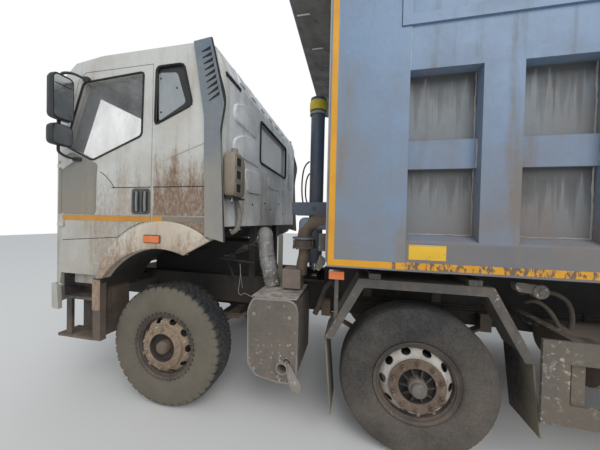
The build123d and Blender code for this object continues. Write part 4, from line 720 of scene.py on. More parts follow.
def tyre(shape, x, y, blocks, around, across_count):
    """One tyre about the axle at x with its middle plane at y."""
    section = along(np.column_stack([TYRE_SECTION, np.zeros(len(TYRE_SECTION))]), across_count)[:, :2]
    a, r = section[:, 0][None, :], section[:, 1][None, :]
    turn = np.linspace(0, 2 * math.pi, around, endpoint=False)[:, None]
    crown = 1.0 - smooth_step(np.abs(a), 0.112, 0.126)
    depth = np.zeros((around, across_count))
    if blocks:
        pitch = 42
        zig = 0.01 * np.sign(np.sin(turn * pitch))
        for middle in (-0.036, 0.036):
            depth = np.maximum(depth, 0.012 * (1 - smooth_step(np.abs(a - middle - zig), 0.004, 0.009)))
        wave = np.abs(((turn * pitch / (2 * math.pi) + 0.25 * (a > 0)) % 1.0) - 0.5)
        side_cut = 0.014 * (1 - smooth_step(wave, 0.1, 0.17)) * smooth_step(np.abs(a), 0.04, 0.052)
        side_cut = side_cut * (1 - smooth_step(np.abs(a), 0.128, 0.135))
        middle_cut = 0.008 * (1 - smooth_step(wave, 0.06, 0.12)) * (1 - smooth_step(np.abs(a), 0.03, 0.036))
        depth = np.maximum(np.maximum(depth, side_cut), middle_cut)
    else:
        zig = 0.004 * np.sin(turn * 60)
        for middle in (-0.078, -0.028, 0.028, 0.078):
            depth = np.maximum(depth, 0.007 * crown * (1 - smooth_step(np.abs(a - middle - zig), 0.003, 0.007)))
        nick = np.abs(((turn * 60 / (2 * math.pi)) % 1.0) - 0.5)
        edge = smooth_step(np.abs(a), 0.102, 0.112) * (1 - smooth_step(np.abs(a), 0.12, 0.128))
        depth = np.maximum(depth, 0.004 * edge * (1 - smooth_step(nick, 0.05, 0.14)))
    radius = r - depth
    ribs = 0.0012 * (np.arange(around) % 2)[:, None] * smooth_step(r, 0.48, 0.484) * (1 - smooth_step(r, 0.498, 0.502))
    rings = sum(0.0026 * np.exp(-(((r - level) / 0.003) ** 2)) for level in (0.338, 0.372, 0.455, 0.507))
    bulge = a + np.sign(a) * (ribs + rings * (np.abs(a) > 0.1))
    points = np.stack([x + radius * np.cos(turn), y + np.broadcast_to(bulge, radius.shape),
                       AXLE_UP + radius * np.sin(turn)], axis=-1)
    shape.grid(points, 0, wrap_u=True)


for word, side in SIDES:
    for number, rubber_name, around in ((1, "tyre_muddy", 504), (2, "tyre_rubber", 360)):
        shape = Shape()
        tyre(shape, AXLE_X[number], side * STEER_MID, number == 1, around, 76)
        make(f"tread_{number}_{word}", shape, rubber_name, f"wheel_{number}_{word}", "tyre_rubber",
             f"tyre_{number}_{word}", crisp=50)
    for number in (3, 4):
        shape = Shape()
        for middle in (TWIN_IN, TWIN_OUT):
            tyre(shape, AXLE_X[number], side * middle, False, 240, 60)
        make(f"treads_{number}_{word}", shape, "tyre_rubber", f"wheels_{number}_{word}", "tyre_rubber",
             f"tyres_{number}_{word}", crisp=50)
print("tyres ready")

# %% [markdown]
# A truck rim is rolled from one strip: a lip, a bead seat, a well and the same again.
# The pressed disc is welded inside it: a flat ring that bolts to the hub, then a slope
# with ten hand holes. Each hole's patch of the slope is a grid that runs from the
# hole's oval edge out to the patch's border, so the holes are really open. Nuts stand
# on a circle of 335 mm.

# %% Rims, discs and nuts
def turned(shape, pairs, place, out, kind, steps, turn=0.0):
    """Turns (radius, outward) pairs about an axle at (x, z); outward starts at y and grows by out."""
    x, y, z = place
    shape.revolve([(radius, y + out * far) for radius, far in pairs], (x, 0, z), kind, steps, turn=turn)


def rim_ring(shape, x, y, out, kind):
    """Rolled rim about the axle; out is +1 when its outer side is towards +Y."""
    half = [(0.3, 0.122), (0.3005, 0.117), (0.292, 0.1125), (0.283, 0.108), (0.272, 0.104), (0.262, 0.098),
            (0.2575, 0.07), (0.254, 0.05), (0.236, 0.036), (0.232, 0.02)]
    inner = [(r - 0.006 if k > 1 else r - 0.004, a + (0.003 if k < 3 else 0.0)) for k, (r, a) in enumerate(half)]
    outer_side, lining = (np.vstack([strip, np.array(strip)[::-1] * (1, -1)]) for strip in (half, inner))
    turned(shape, np.vstack([outer_side, lining[::-1], outer_side[:1]]), (x, y, AXLE_UP), out, kind, 96)


def holed_slope(shape, x, y, out, r_in, r_out, depth, hole_r, half_r, half_t, swell, holes=10, kind=1):
    """Ring from r_in to r_out that falls back by depth, with oval holes through it."""
    phi = np.linspace(0, 2 * math.pi, 40, endpoint=False)
    direction = np.stack([np.cos(phi), np.sin(phi)], axis=-1)
    square = direction / np.max(np.abs(direction), axis=1, keepdims=True)
    half_angle = math.pi / holes
    border_t = square[:, 0] * half_angle
    border_r = hole_r + square[:, 1] * np.where(square[:, 1] > 0, r_out - hole_r, hole_r - r_in)
    oval_t, oval_r = direction[:, 0] * half_t / hole_r, hole_r + direction[:, 1] * half_r
    steps = np.linspace(0, 1, 5)[:, None]
    t_grid, r_grid = oval_t + steps * (border_t - oval_t), oval_r + steps * (border_r - oval_r)
    lip_t, lip_r = oval_t * 0.97, hole_r + (oval_r - hole_r) * 0.97

    def placed(radius, turn, extra):
        """Points of the slope at given radii and turns, set back by extra."""
        share = np.clip((radius - r_in) / (r_out - r_in), 0, 1)
        back = depth * share**1.5 - swell * np.sin(math.pi * share) + extra
        return np.stack([x + radius * np.cos(turn), y - out * back, AXLE_UP + radius * np.sin(turn)], axis=-1)

    for k in range(holes):
        points = placed(r_grid, 2 * half_angle * k + t_grid, 0.0)
        shape.grid(points, kind, wrap_v=True)
        shape.grid(np.stack([points[0], placed(lip_r, 2 * half_angle * k + lip_t, 0.01)]), kind, wrap_v=True)


def nuts(shape, x, y, length, stud, count=10, circle=0.1675, kind=2):
    """Hexagon nuts on a circle, each with a collar and a stud end."""
    end = length + stud
    for k in range(count):
        angle = 2 * math.pi * (k + 0.5) / count
        place = (x + circle * math.cos(angle), y, AXLE_UP + circle * math.sin(angle))
        turned(shape, [(0.023, 0), (0.023, 0.006), (0.0175, 0.008)], place, 1, kind, 18)
        turned(shape, [(0.0175, 0.006), (0.0175, length * 0.9), (0.0145, length), (POINT, length)], place, 1, kind, 6,
               k * 0.4)
        turned(shape, [(0.0115, length * 0.9), (0.0115, end), (0.009, end + 0.002), (POINT, end + 0.002)], place, 1,
               kind, 12)


print("rim helpers ready")

# %% [markdown]
# A steered wheel is a rim, a disc with its nuts outside, a recess and a cap. Twin wheels
# are two such rims back to back on a long hub, with the outer disc deep inside. The first
# axle's disc is rusty and its cap is a dome in a dark recess; the second's is pale, with
# a brown flange and a ribbed hub.

# %% Steered and twin wheels
def steer_wheel(x, worn):
    """Left steered wheel: kinds 0 rim, 1 disc, 2 hub flange and nuts, 3 dark recess, 4 cap."""
    shape = Shape()
    rim_ring(shape, x, STEER_MID, 1, 0)
    face = STEER_MID + 0.12
    holed_slope(shape, x, face, 1, 0.196, 0.252, 0.05, 0.229, 0.021, 0.034, 0.004)
    turned(shape, [(0.197, 0.0), (0.19, 0.01), (0.14, 0.012), (0.139, -0.004), (0.185, -0.012), (0.197, -0.01),
                   (0.197, 0.0)], (x, face, AXLE_UP), 1, 1, 72)
    top = face + 0.012
    turned(shape, [(0.192, 0.0), (0.192, 0.01), (0.188, 0.014), (0.128, 0.014), (0.124, 0.01), (0.12, -0.03)],
           (x, top, AXLE_UP), 1, 2, 72)
    nuts(shape, x, top + 0.013, *((0.022, 0.006) if worn else (0.03, 0.016)))
    if worn:
        well = [(0.124, 0.012), (0.116, -0.035), (0.08, -0.05), (0.058, -0.048)]
        cap = [(0.06, -0.05), (0.058, 0.0), (0.054, 0.018), (0.04, 0.032), (0.02, 0.039), (POINT, 0.041)]
    else:
        well = [(0.124, 0.012), (0.12, -0.02), (0.09, -0.026), (0.066, -0.02)]
        cap = [(0.066, -0.024), (0.064, 0.03), (0.056, 0.044), (0.052, 0.046), (0.05, 0.066), (0.046, 0.071),
               (0.03, 0.074), (0.012, 0.079), (POINT, 0.08)]
        rib = np.array([(0.06, -0.02), (0.12, -0.02), (0.12, 0.004), (0.062, 0.024)])
        for k in range(10):
            c, s = math.cos(2 * math.pi * k / 10), math.sin(2 * math.pi * k / 10)
            layers = [np.stack([x + rib[:, 0] * c - w * s, top + rib[:, 1], AXLE_UP + rib[:, 0] * s + w * c], axis=-1)
                      for w in (-0.006, 0.006)]
            shape.closed(layers, 3)
    for profile, kind in ((well, 3), (cap, 4)):
        turned(shape, profile, (x, top, AXLE_UP), 1, kind, 48)
    drum = [(0.12, 0.085), (0.205, 0.07), (0.208, -0.045), (0.12, -0.045), (0.06, -0.042), (0.06, 0.0)]
    turned(shape, drum, (x, STEER_MID - 0.005, AXLE_UP), 1, 3, 48)
    return shape


def twin_wheel(x):
    """Left twin wheels: two rims back to back on a long hub, the outer disc deep inside."""
    shape = Shape()
    for middle, out in ((TWIN_OUT, 1), (TWIN_IN, -1)):
        rim_ring(shape, x, middle, out, 0)
        face = middle - out * 0.075
        holed_slope(shape, x, face, out, 0.196, 0.238, -0.02, 0.217, 0.014, 0.026, -0.002)
        turned(shape, [(0.197, 0.004), (0.13, 0.006), (0.13, -0.01), (0.197, -0.01), (0.197, 0.004)],
               (x, face, AXLE_UP), out, 1, 64)
    face = TWIN_OUT - 0.069
    nuts(shape, x, face, 0.03, 0.014)
    turned(shape, [(0.135, 0.0), (0.133, 0.05), (0.124, 0.062), (0.122, 0.15), (0.118, 0.16), (0.098, 0.166),
                   (0.09, 0.176), (0.05, 0.184), (0.048, 0.188), (POINT, 0.189)], (x, face, AXLE_UP), 1, 2, 48)
    for k in range(8):
        angle = 2 * math.pi * (k + 0.5) / 8
        place = (x + 0.106 * math.cos(angle), face + 0.158, AXLE_UP + 0.106 * math.sin(angle))
        turned(shape, [(0.009, 0), (0.009, 0.012), (POINT, 0.013)], place, 1, 2, 6)
    drum = [(0.1, 0.13), (0.205, 0.125), (0.208, -0.135), (0.1, -0.14), (0.06, -0.13), (0.06, 0.1)]
    turned(shape, drum, (x, TWIN_IN - 0.005, AXLE_UP), 1, 3, 48)
    turned(shape, [(0.13, TWIN_IN + 0.11), (0.13, TWIN_OUT - 0.07)], (x, 0, AXLE_UP), 1, 3, 40)
    return shape


pair("rim_1_{}", steer_wheel(AXLE_X[1], True), "rim_dark disc_tan disc_tan engine_dark hub_brown", "wheel_1_{}",
     "wheel_rust", "wheel_1_{}")
pair("rim_2_{}", steer_wheel(AXLE_X[2], False), "rim_dark wheel_pale hub_brown engine_dark cap_grey", "wheel_2_{}",
     "wheel_pale", "wheel_2_{}")
for number in (3, 4):
    names = f"wheels_{number}_{{}}"
    pair(f"rims_{number}_{{}}", twin_wheel(AXLE_X[number]), "rim_dark wheel_pale hub_brown axle_iron", names,
         "wheel_pale", names)
print("wheels ready")

# %% [markdown]
# The silencer is a flat pressed-steel box on the left side. Its cover has chamfered
# corners and a rolled edge, five bolts, and a short outlet low at the rear. The steel has
# torn beside the outlet, so a crack runs up from it and a loose flap hangs outwards. The
# cover is a star of rings around the outlet: the inner ring is the hole, the outer ones
# roll over the edge and run back as the box's sides. The top is a perforated plate.

# %% Silencer
def rounded(points, radius, steps=5):
    """Closed outline whose corners are turned into short arcs of about this radius."""
    points = np.asarray(points, dtype=float)
    out = []
    for before, corner, after in zip(np.roll(points, 1, axis=0), points, np.roll(points, -1, axis=0)):
        lengths = [np.linalg.norm(side - corner) for side in (before, after)]
        starts = [corner + (side - corner) * min(radius / length, 0.45)
                  for side, length in zip((before, after), lengths)]
        for t in np.linspace(0.0, 1.0, steps):
            out.append((1 - t) ** 2 * starts[0] + 2 * t * (1 - t) * corner + t**2 * starts[1])
    return np.array(out)


def reach(outline, centre, angles):
    """Distance from a centre to a closed outline around it, along each angle."""
    outline = np.asarray(outline, dtype=float) - np.asarray(centre, dtype=float)
    edge = np.roll(outline, -1, axis=0) - outline
    way = np.stack([np.cos(angles), np.sin(angles)], axis=-1)
    cross = way[:, None, 0] * edge[None, :, 1] - way[:, None, 1] * edge[None, :, 0]
    cross = np.where(np.abs(cross) < 1e-12, 1e-12, cross)
    far = (outline[None, :, 0] * edge[None, :, 1] - outline[None, :, 1] * edge[None, :, 0]) / cross
    share = (outline[None, :, 0] * way[:, None, 1] - outline[None, :, 1] * way[:, None, 0]) / cross
    good = (far > 0) & (share >= -1e-9) & (share <= 1 + 1e-9)
    return np.where(good, far, np.inf).min(axis=1)


def ribbon(path, width, thick, normal):
    """Flat bar carried along a path: width across it, thick along the given normal."""
    path = np.asarray(path, dtype=float)
    way = np.gradient(path, axis=0)
    way /= np.linalg.norm(way, axis=1, keepdims=True)
    normal = np.asarray(normal, dtype=float)
    side = np.cross(way, normal)
    side /= np.linalg.norm(side, axis=1, keepdims=True)
    lift = np.cross(side, way)
    corners = [(-0.5, -0.5), (0.5, -0.5), (0.5, 0.5), (-0.5, 0.5)]
    ring = np.stack([path + side * (a * width) + lift * (b * thick) for a, b in corners], axis=1)
    ends = [np.repeat(ring[k].mean(axis=0)[None], 4, axis=0)[None] for k in (0, -1)]
    return np.concatenate([ends[0], ring, ends[1]])


BOX_FACE, BOX_BACK = 1.098, 0.562
OUTLET = (2.507, 0.5)
OUTLET_R = 0.042
box_outline = rounded([
    (2.822, 0.96), (2.775, 1.056), (2.455, 1.06), (2.4, 1.03), (2.382, 0.955), (2.382, 0.44), (2.43, 0.372),
    (2.54, 0.366), (2.745, 0.402), (2.818, 0.5),
], 0.03)


def box_cover(shape, outline, hole, hole_r, face, back, steps=160):
    """Cover with a hole: rings from the hole to the rolled edge, then the sides and the back."""
    angle = np.linspace(0, 2 * math.pi, steps, endpoint=False)
    far = reach(outline, hole, angle)
    rings = [(hole_r, face - 0.02), (hole_r, face - 0.003)]
    inner = [hole_r + (far - 0.016 - hole_r) * share for share in (0.03, 0.12, 0.25, 0.4, 0.55, 0.7, 0.85, 0.95, 1.0)]
    rings += [(r, face) for r in inner]
    rings += [(far - 0.01, face + 0.003), (far - 0.004, face + 0.002), (far, face - 0.006), (far, face - 0.022),
              (far - 0.003, face - 0.026), (far - 0.004, face - 0.2), (far - 0.004, back)]
    grid = np.empty((steps, len(rings), 3))
    for k, (radius, level) in enumerate(rings):
        grid[:, k, 0] = hole[0] + radius * np.cos(angle)
        grid[:, k, 2] = hole[1] + radius * np.sin(angle)
        grid[:, k, 1] = level
    inside = np.arange(2, 2 + len(inner))
    x, z = grid[:, inside, 0], grid[:, inside, 2]
    for cx, cz, size, depth in ((2.66, 0.78, 0.16, 0.005), (2.47, 0.7, 0.07, 0.006), (2.6, 0.52, 0.09, 0.004),
                                (2.72, 0.95, 0.1, -0.003)):
        grid[:, inside, 1] -= depth * np.exp(-((x - cx) ** 2 + (z - cz) ** 2) / size**2)
    split = 2 + len(inner)
    shape.grid(grid[:, :split], 0, wrap_u=True)
    shape.grid(grid[:, split - 1:split + 4], 1, wrap_u=True)
    shape.grid(grid[:, split + 3:], 0, wrap_u=True)
    rear = grid[:, -1:].copy()
    middle = np.broadcast_to([hole[0], back, hole[1]], rear.shape)
    shape.grid(np.concatenate([rear, middle], axis=1), 0, wrap_u=True)


box = Shape()
box_cover(box, box_outline, OUTLET, OUTLET_R, BOX_FACE, BOX_BACK)
for x, z in ((2.761, 0.919), (2.455, 0.912), (2.421, 0.628), (2.755, 0.458), (2.545, 0.42)):
    dome = [(0.017, 0.0), (0.016, 0.002), (0.012, 0.003), (0.011, 0.008), (0.006, 0.011), (POINT, 0.012)]
    box.revolve([(r, BOX_FACE + h) for r, h in dome], (x, 0, z), 2, 18)
pipe_end = [(0.04, -0.1), (0.04, 0.02), (0.043, 0.024), (0.049, 0.022), (0.052, 0.0), (0.058, -0.002)]
box.revolve([(r, BOX_FACE + h) for r, h in pipe_end], (OUTLET[0], 0, OUTLET[1]), 1, 40)
box.revolve([(0.04, BOX_FACE - 0.09), (POINT, BOX_FACE - 0.09)], (OUTLET[0], 0, OUTLET[1]), 3, 40)
crack = along([(2.5, BOX_FACE + 0.001, 0.545), (2.475, BOX_FACE + 0.002, 0.575), (2.452, BOX_FACE + 0.001, 0.56),
               (2.44, BOX_FACE + 0.001, 0.52), (2.415, BOX_FACE + 0.001, 0.492)], 14)
box.grid(ribbon(crack, 0.007, 0.003, (0, 1, 0)), 3, wrap_v=True)
flap_lean = [(2.478, 0.528, 0.004), (2.452, 0.548, 0.006), (2.415, 0.5, 0.01), (2.38, 0.445, 0.02),
             (2.345, 0.405, 0.03), (2.338, 0.352, 0.034), (2.372, 0.33, 0.034), (2.42, 0.35, 0.026),
             (2.452, 0.4, 0.014), (2.47, 0.47, 0.006)]
outer = np.array([(x, BOX_FACE + lean, z) for x, z, lean in flap_lean])
inner = outer - (0, 0.004, 0)
box.closed([outer, inner], 1)
box.tube(along([(2.395, 1.115, 0.352), (2.372, 1.125, 0.33), (2.35, 1.12, 0.345), (2.345, 1.1, 0.372)], 9), 0.009, 1, 8)
box.box((2.4, 0.585, 1.0585), (2.79, 1.086, 1.0635), 4)
for x in (2.47, 2.72):
    box.box((x - 0.03, 0.4305, 0.78), (x + 0.03, 0.565, 0.86), 0)
make("silencer_box", box, "silencer_taupe scuffed_steel scuffed_steel soot perforated_plate", "chassis",
     "silencer_metal", "silencer")
print("silencer ready")

# %% [markdown]
# Two pipes rise from the silencer: one lagged in foil that leads forward to the engine,
# and a brown one, through a square joint box, up to the flange under the bed. The bed
# carries the other flange and the bend, so the pipe parts there when the bed tips. Pipes
# are rings carried along smooth paths; the foil is given creases by a rippled radius.

# %% Exhaust pipes
def oblong(x0, x1, z0, z1, radius, steps=5):
    """Rectangle with rounded corners, as a closed outline."""
    return rounded([(x0, z0), (x1, z0), (x1, z1), (x0, z1)], radius, steps)


PIPE_X, PIPE_Y, PIPE_RADIUS = 2.41, 0.76, 0.052
exhaust = Shape()
foil_path = along([(2.925, 0.47, 1.535), (2.88, 0.55, 1.562), (2.832, 0.65, 1.545), (2.812, 0.7, 1.475),
                   (2.784, 0.71, 1.3), (2.72, 0.72, 1.062)], 60)
steps = np.arange(60)
creases = 0.0016 * np.sin(steps * 1.9) + 0.0014 * np.sin(steps * 3.7 + 1.0)
foil_radius = 0.066 + 0.01 * np.clip(steps / 34.0, 0, 1) + creases
exhaust.tube(foil_path, foil_radius, 1, 28)
for place_at in (24, 40):
    centre, way = foil_path[place_at], foil_path[place_at + 1] - foil_path[place_at - 1]
    way = way / np.linalg.norm(way)
    exhaust.tube([centre - way * 0.006, centre + way * 0.006], 0.079, 1, 28)
clamp = foil_path[22] + np.array([0.06, 0.03, 0.0])
exhaust.box(clamp - (0.012, 0.01, 0.022), clamp + (0.03, 0.016, 0.022), 3)
exhaust.tube([clamp + (0.01, -0.03, 0.0), clamp + (0.01, 0.05, 0.004)], 0.007, 3, 10)
exhaust.prism(oblong(2.423, 2.597, 0.672, 0.85, 0.012), 1.083, 1.257, 5, "z")
exhaust.tube([(2.505, 0.765, 1.058), (2.505, 0.765, 1.09)], 0.046, 4, 26)
exhaust.tube(along([(PIPE_X + 0.03, 0.745, 1.2), (PIPE_X + 0.02, PIPE_Y - 0.01, 1.3), (PIPE_X, PIPE_Y, 1.4),
                    (PIPE_X, PIPE_Y, 1.462)], 16), PIPE_RADIUS, 0, 32)
flange = [(0.05, 1.448), (0.108, 1.449), (0.112, 1.453), (0.112, 1.464), (0.108, 1.468), (0.096, 1.469),
          (0.094, 1.5), (0.098, 1.506), (0.094, 1.512), (0.094, 1.529), (0.05, 1.53)]
exhaust.revolve(flange, (PIPE_X, PIPE_Y, 0), 3, 44, "z")
for k in range(8):
    turn = 2 * math.pi * (k + 0.3) / 8
    at = np.array([PIPE_X + 0.101 * math.cos(turn), PIPE_Y + 0.101 * math.sin(turn), 0.0])
    exhaust.tube([at + (0, 0, 1.44), at + (0, 0, 1.528)], 0.006, 3, 8)
make("exhaust_run", exhaust, "pipe_brown foil_lagging axle_iron axle_iron wheel_rust box_taupe",
     "chassis", "pipe_metal", "exhaust_pipes", bevel=0.004)

bend = Shape()
bend.revolve([(0.05, 1.536), (0.108, 1.537), (0.112, 1.541), (0.112, 1.549), (0.108, 1.552), (0.07, 1.554),
              (0.064, 1.566), (0.06, 1.58)], (PIPE_X, PIPE_Y, 0), 1, 44, "z")
bend.tube(along([(PIPE_X, PIPE_Y, 1.553), (PIPE_X - 0.004, PIPE_Y, 1.6), (PIPE_X - 0.045, PIPE_Y, 1.665),
                 (PIPE_X - 0.125, PIPE_Y, 1.692), (2.086, PIPE_Y, 1.7)], 26), 0.064, 0, 34)
make("bed_pipe_bend", bend, "pipe_brown axle_iron", "bed", "pipe_metal")
print("exhaust ready")

# %% [markdown]
# The bed's side is one long pressing: a smooth corner panel at the front, then bays framed
# by posts, a mid rail and a sloped sill. The panel stands a little proud of the sill. Its
# weld beads are thin wobbling tubes in the corners of each bay, and the warning stripes
# are thin sheets of tape just proud of the paint, worn brown where stones hit the sill.

# %% Bed sides
BED_X0, BED_X1 = -4.96, 2.148
SIDE_Y, RECESS_Y = 1.275, 1.175
SILL_LOW, SILL_TOP = 1.382, 1.625
UPPER_LOW, RAIL_TOP, BOARD_TOP = 2.705, 2.992, 3.444
MID_LOW, MID_TOP = 2.068, 2.259
PANEL_X0 = BED_X1 - 0.518
BAY, POST = 0.43, 0.22

bed_trim = Shape()
for x, z, y, kind in (
    ((PANEL_X0, BED_X1 - 0.002), (SILL_LOW + 0.002, RAIL_TOP - 0.002), (SIDE_Y, SIDE_Y + 0.006), 0),
    ((1.69, BED_X1 - 0.002), (RAIL_TOP - 0.002, BOARD_TOP), (SIDE_Y - 0.02, SIDE_Y + 0.006), 0),
    ((2.098, 2.14), (SILL_LOW + 0.012, BOARD_TOP - 0.004), (SIDE_Y + 0.006, SIDE_Y + 0.007), 1),
    ((PANEL_X0, 2.098), (SILL_LOW + 0.012, SILL_LOW + 0.056), (SIDE_Y + 0.006, SIDE_Y + 0.007), 1),
    ((BED_X0 + 0.01, PANEL_X0 - 0.004), (SILL_LOW + 0.014, SILL_LOW + 0.06), (SIDE_Y, SIDE_Y + 0.001), 1),
    ((1.383, 1.608), (1.462, 1.56), (SIDE_Y, SIDE_Y + 0.0012), 2),
    ((1.386, 1.605), (1.553, 1.556), (SIDE_Y, SIDE_Y + 0.0017), 3),
    ((BED_X1, BED_X1 + 0.012), (SILL_LOW + 0.03, BOARD_TOP - 0.04), (SIDE_Y - 0.03, SIDE_Y - 0.004), 3),
    ((BED_X1, BED_X1 + 0.004), (SILL_LOW + 0.03, RAIL_TOP - 0.01), (SIDE_Y - 0.11, SIDE_Y - 0.06), 4),
    ((BED_X1 + 0.012, 2.218), (1.48, 1.612), (1.19, 1.196), 5),
):
    bed_trim.box((x[0], y[0], z[0]), (x[1], y[1], z[1]), kind)
bed_trim.prism([(2.16, 1.42), (2.206, 1.455), (2.226, 1.4), (2.242, 1.344), (2.213, 1.329), (2.17, 1.38)],
               1.19, 1.196, 5)


def bead(shape, start, end, seed):
    """Weld bead: a thin tube whose path and width wander a little."""
    wander = np.random.default_rng(seed)
    count = max(8, int(np.linalg.norm(np.subtract(end, start)) / 0.03))
    path = np.linspace(start, end, count) + wander.normal(0, 0.0012, (count, 3))
    shape.tube(path, 0.0045 + wander.uniform(-0.0012, 0.002, count), 0, 6)


welds = Shape()
for k in range(10):
    front = PANEL_X0 - k * (BAY + POST)
    rear = front - BAY
    for low, high in ((SILL_TOP, MID_LOW), (MID_TOP, UPPER_LOW)):
        bead(welds, (rear + 0.003, RECESS_Y + 0.002, low), (rear + 0.003, RECESS_Y + 0.002, high), k + 20)
        bead(welds, (rear, RECESS_Y + 0.002, low + 0.002), (front, RECESS_Y + 0.002, low + 0.002), k + 60)
    bead(welds, (rear + 0.002, 1.217, MID_LOW), (rear + 0.002, 1.217, MID_TOP), k + 90)
    bead(welds, (front - 0.002, 1.217, MID_LOW), (front - 0.002, 1.217, MID_TOP), k + 120)
bead(welds, (PANEL_X0 - 0.001, SIDE_Y, UPPER_LOW), (PANEL_X0 - 0.001, SIDE_Y, RAIL_TOP), 7)
make("bed_trim", bed_trim.also(bed_trim.mirror()),
     "bed_blue_grey yellow_tape bright_tape pale_edge frame_black fender_taupe", "bed", "bed_paint")
make("bed_welds", welds.also(welds.mirror()), "pale_edge", "bed", "bed_paint")
print("bed trim ready")

# %% [markdown]
# The canopy over the hoist is thin folded sheet. From below it shows folds that run fore
# and aft, stains, and slits that let the sky through, so its lining is rippled across the
# truck's width and carries three pale strips, painted light that stands for the sky seen
# through the slits.

# %% Canopy lining
CANOPY_LOW, CANOPY_RISE = np.array([2.15, 3.425]), np.array([0.383, 0.1])
lining = Shape()
u, v = np.meshgrid(np.linspace(0.02, 0.97, 10), np.linspace(-1.228, 1.228, 180), indexing="ij")
fold = 0.008 * np.abs(np.sin(v * math.pi / 0.205)) ** 0.5
height = CANOPY_LOW[1] + CANOPY_RISE[1] * u - 0.004 - fold
lining.grid(np.stack([CANOPY_LOW[0] + CANOPY_RISE[0] * u, v, height], axis=-1))
# Pale strips under the lining: painted sky light in place of open slits.
for y, x in ((1.135, 2.36), (0.925, 2.4), (0.52, 2.33)):
    z = CANOPY_LOW[1] + CANOPY_RISE[1] * (x - CANOPY_LOW[0]) / CANOPY_RISE[0] - 0.018
    lining.box((x - 0.09, y - 0.006, z), (x + 0.09, y + 0.006, z + 0.004), 1)
make("canopy_lining", lining, "stained_steel slit_light", "bed", "bed_paint")
print("canopy lining ready")

# %% [markdown]
# The hoist is a fat tube hung from the bed's yoke. Its head carries a yellow painted band,
# a pale ring below it and a dark collar above.

# %% Hoist head
HOIST_X = 2.42
head = Shape()
head.revolve([(0.097, 3.05), (0.101, 3.052), (0.104, 3.062), (0.104, 3.15), (0.101, 3.16), (0.095, 3.166)],
             (HOIST_X, 0, 0), 0, 48, "z")
head.revolve([(0.0955, 3.0), (0.1, 3.003), (0.1, 3.032), (0.0955, 3.035)], (HOIST_X, 0, 0), 1, 48, "z")
head.revolve([(0.095, 3.19), (0.092, 3.204), (0.05, 3.21), (POINT, 3.211)], (HOIST_X, 0, 0), 2, 48, "z")
make("hoist_head", head, "yellow_paint pale_edge hoist_navy", "hoist_cover", "hoist_cover")
print("hoist head ready")

# %% [markdown]
# The cab's shell is the imported solid. What makes it a cab is laid on its sides: black
# rubber round each window, a dark printed band inside the small window, a grey moulded
# trim in the door's lower front, handle pockets with near-black plates of painted shade,
# and a stripe that runs orange over the door and fades to brown behind it, with a pale
# strip above the brown part as a painted highlight. Plates are thin prisms; seals are
# closed tubes.

# %% Cab sides
CAB_SIDE = 1.24
WINDOW = [(4.585, 2.345), (4.38, 2.905), (3.736, 2.935), (3.75, 2.4), (4.275, 2.205)]
QUARTER = [(3.61, 2.965), (3.35, 2.965), (3.265, 2.625), (3.622, 2.48)]


def loop_tube(shape, points, radius, kind, sides=8):
    """Tube round a closed path."""
    points = np.asarray(points, dtype=float)
    shape.tube(np.vstack([points, points[:2]]), radius, kind, sides)


def shrink(outline, share):
    """Outline pulled towards its middle."""
    outline = np.asarray(outline, dtype=float)
    return outline.mean(axis=0) + (outline - outline.mean(axis=0)) * share


def solid(shape, sections):
    """Closed rings of points, joined one to the next, with both ends capped."""
    sections = np.asarray(sections, dtype=float)
    shape.grid(sections, wrap_v=True)
    for k in (0, -1):
        shape.add(sections[k], [list(range(sections.shape[1]))])


door = Shape()
loop_tube(door, level_outline(rounded(WINDOW, 0.035, 6), CAB_SIDE + 0.001), 0.0085, 0)
trim = rounded([(4.616, 2.235), (4.514, 2.288), (4.215, 2.17), (4.228, 2.07), (4.236, 1.722), (4.616, 1.722)], 0.035)
door.prism(trim, CAB_SIDE, CAB_SIDE + 0.006, 1)
door.prism(oblong(3.66, 3.845, 1.728, 1.948, 0.03), CAB_SIDE, CAB_SIDE + 0.004, 5)
# The handle pockets are near-black plates: painted shade in the recesses behind the grips.
for x in (3.709, 3.793):
    pocket = oblong(x - 0.031, x + 0.031, 1.745, 1.931, 0.026)
    door.prism(pocket, CAB_SIDE + 0.004, CAB_SIDE + 0.0055, 2)
    door.tube([(x - 0.004, CAB_SIDE + 0.008, 1.752), (x - 0.004, CAB_SIDE + 0.012, 1.84),
               (x - 0.004, CAB_SIDE + 0.008, 1.924)], 0.01, 6, 8)
door.box((3.655, CAB_SIDE, 1.664), (4.616, CAB_SIDE + 0.0015, 1.709), 3)
seam = along([(4.19, CAB_SIDE, 2.1), (4.15, CAB_SIDE, 2.078), (4.086, CAB_SIDE, 2.024), (4.033, CAB_SIDE, 1.96)], 14)
door.tube(seam, 0.0028, 2, 8)
door.tube([(4.06, CAB_SIDE, 1.957), (3.655, CAB_SIDE, 1.96)], 0.0035, 2, 8)
door.tube([(4.616, CAB_SIDE, 1.712), (3.655, CAB_SIDE, 1.716)], 0.003, 4, 8)
pair("door_fittings_{}", door, "seal_rubber corner_grey soot stripe_orange cab_white handle_grey handle_bar",
     "door_{}", "cab_paint")

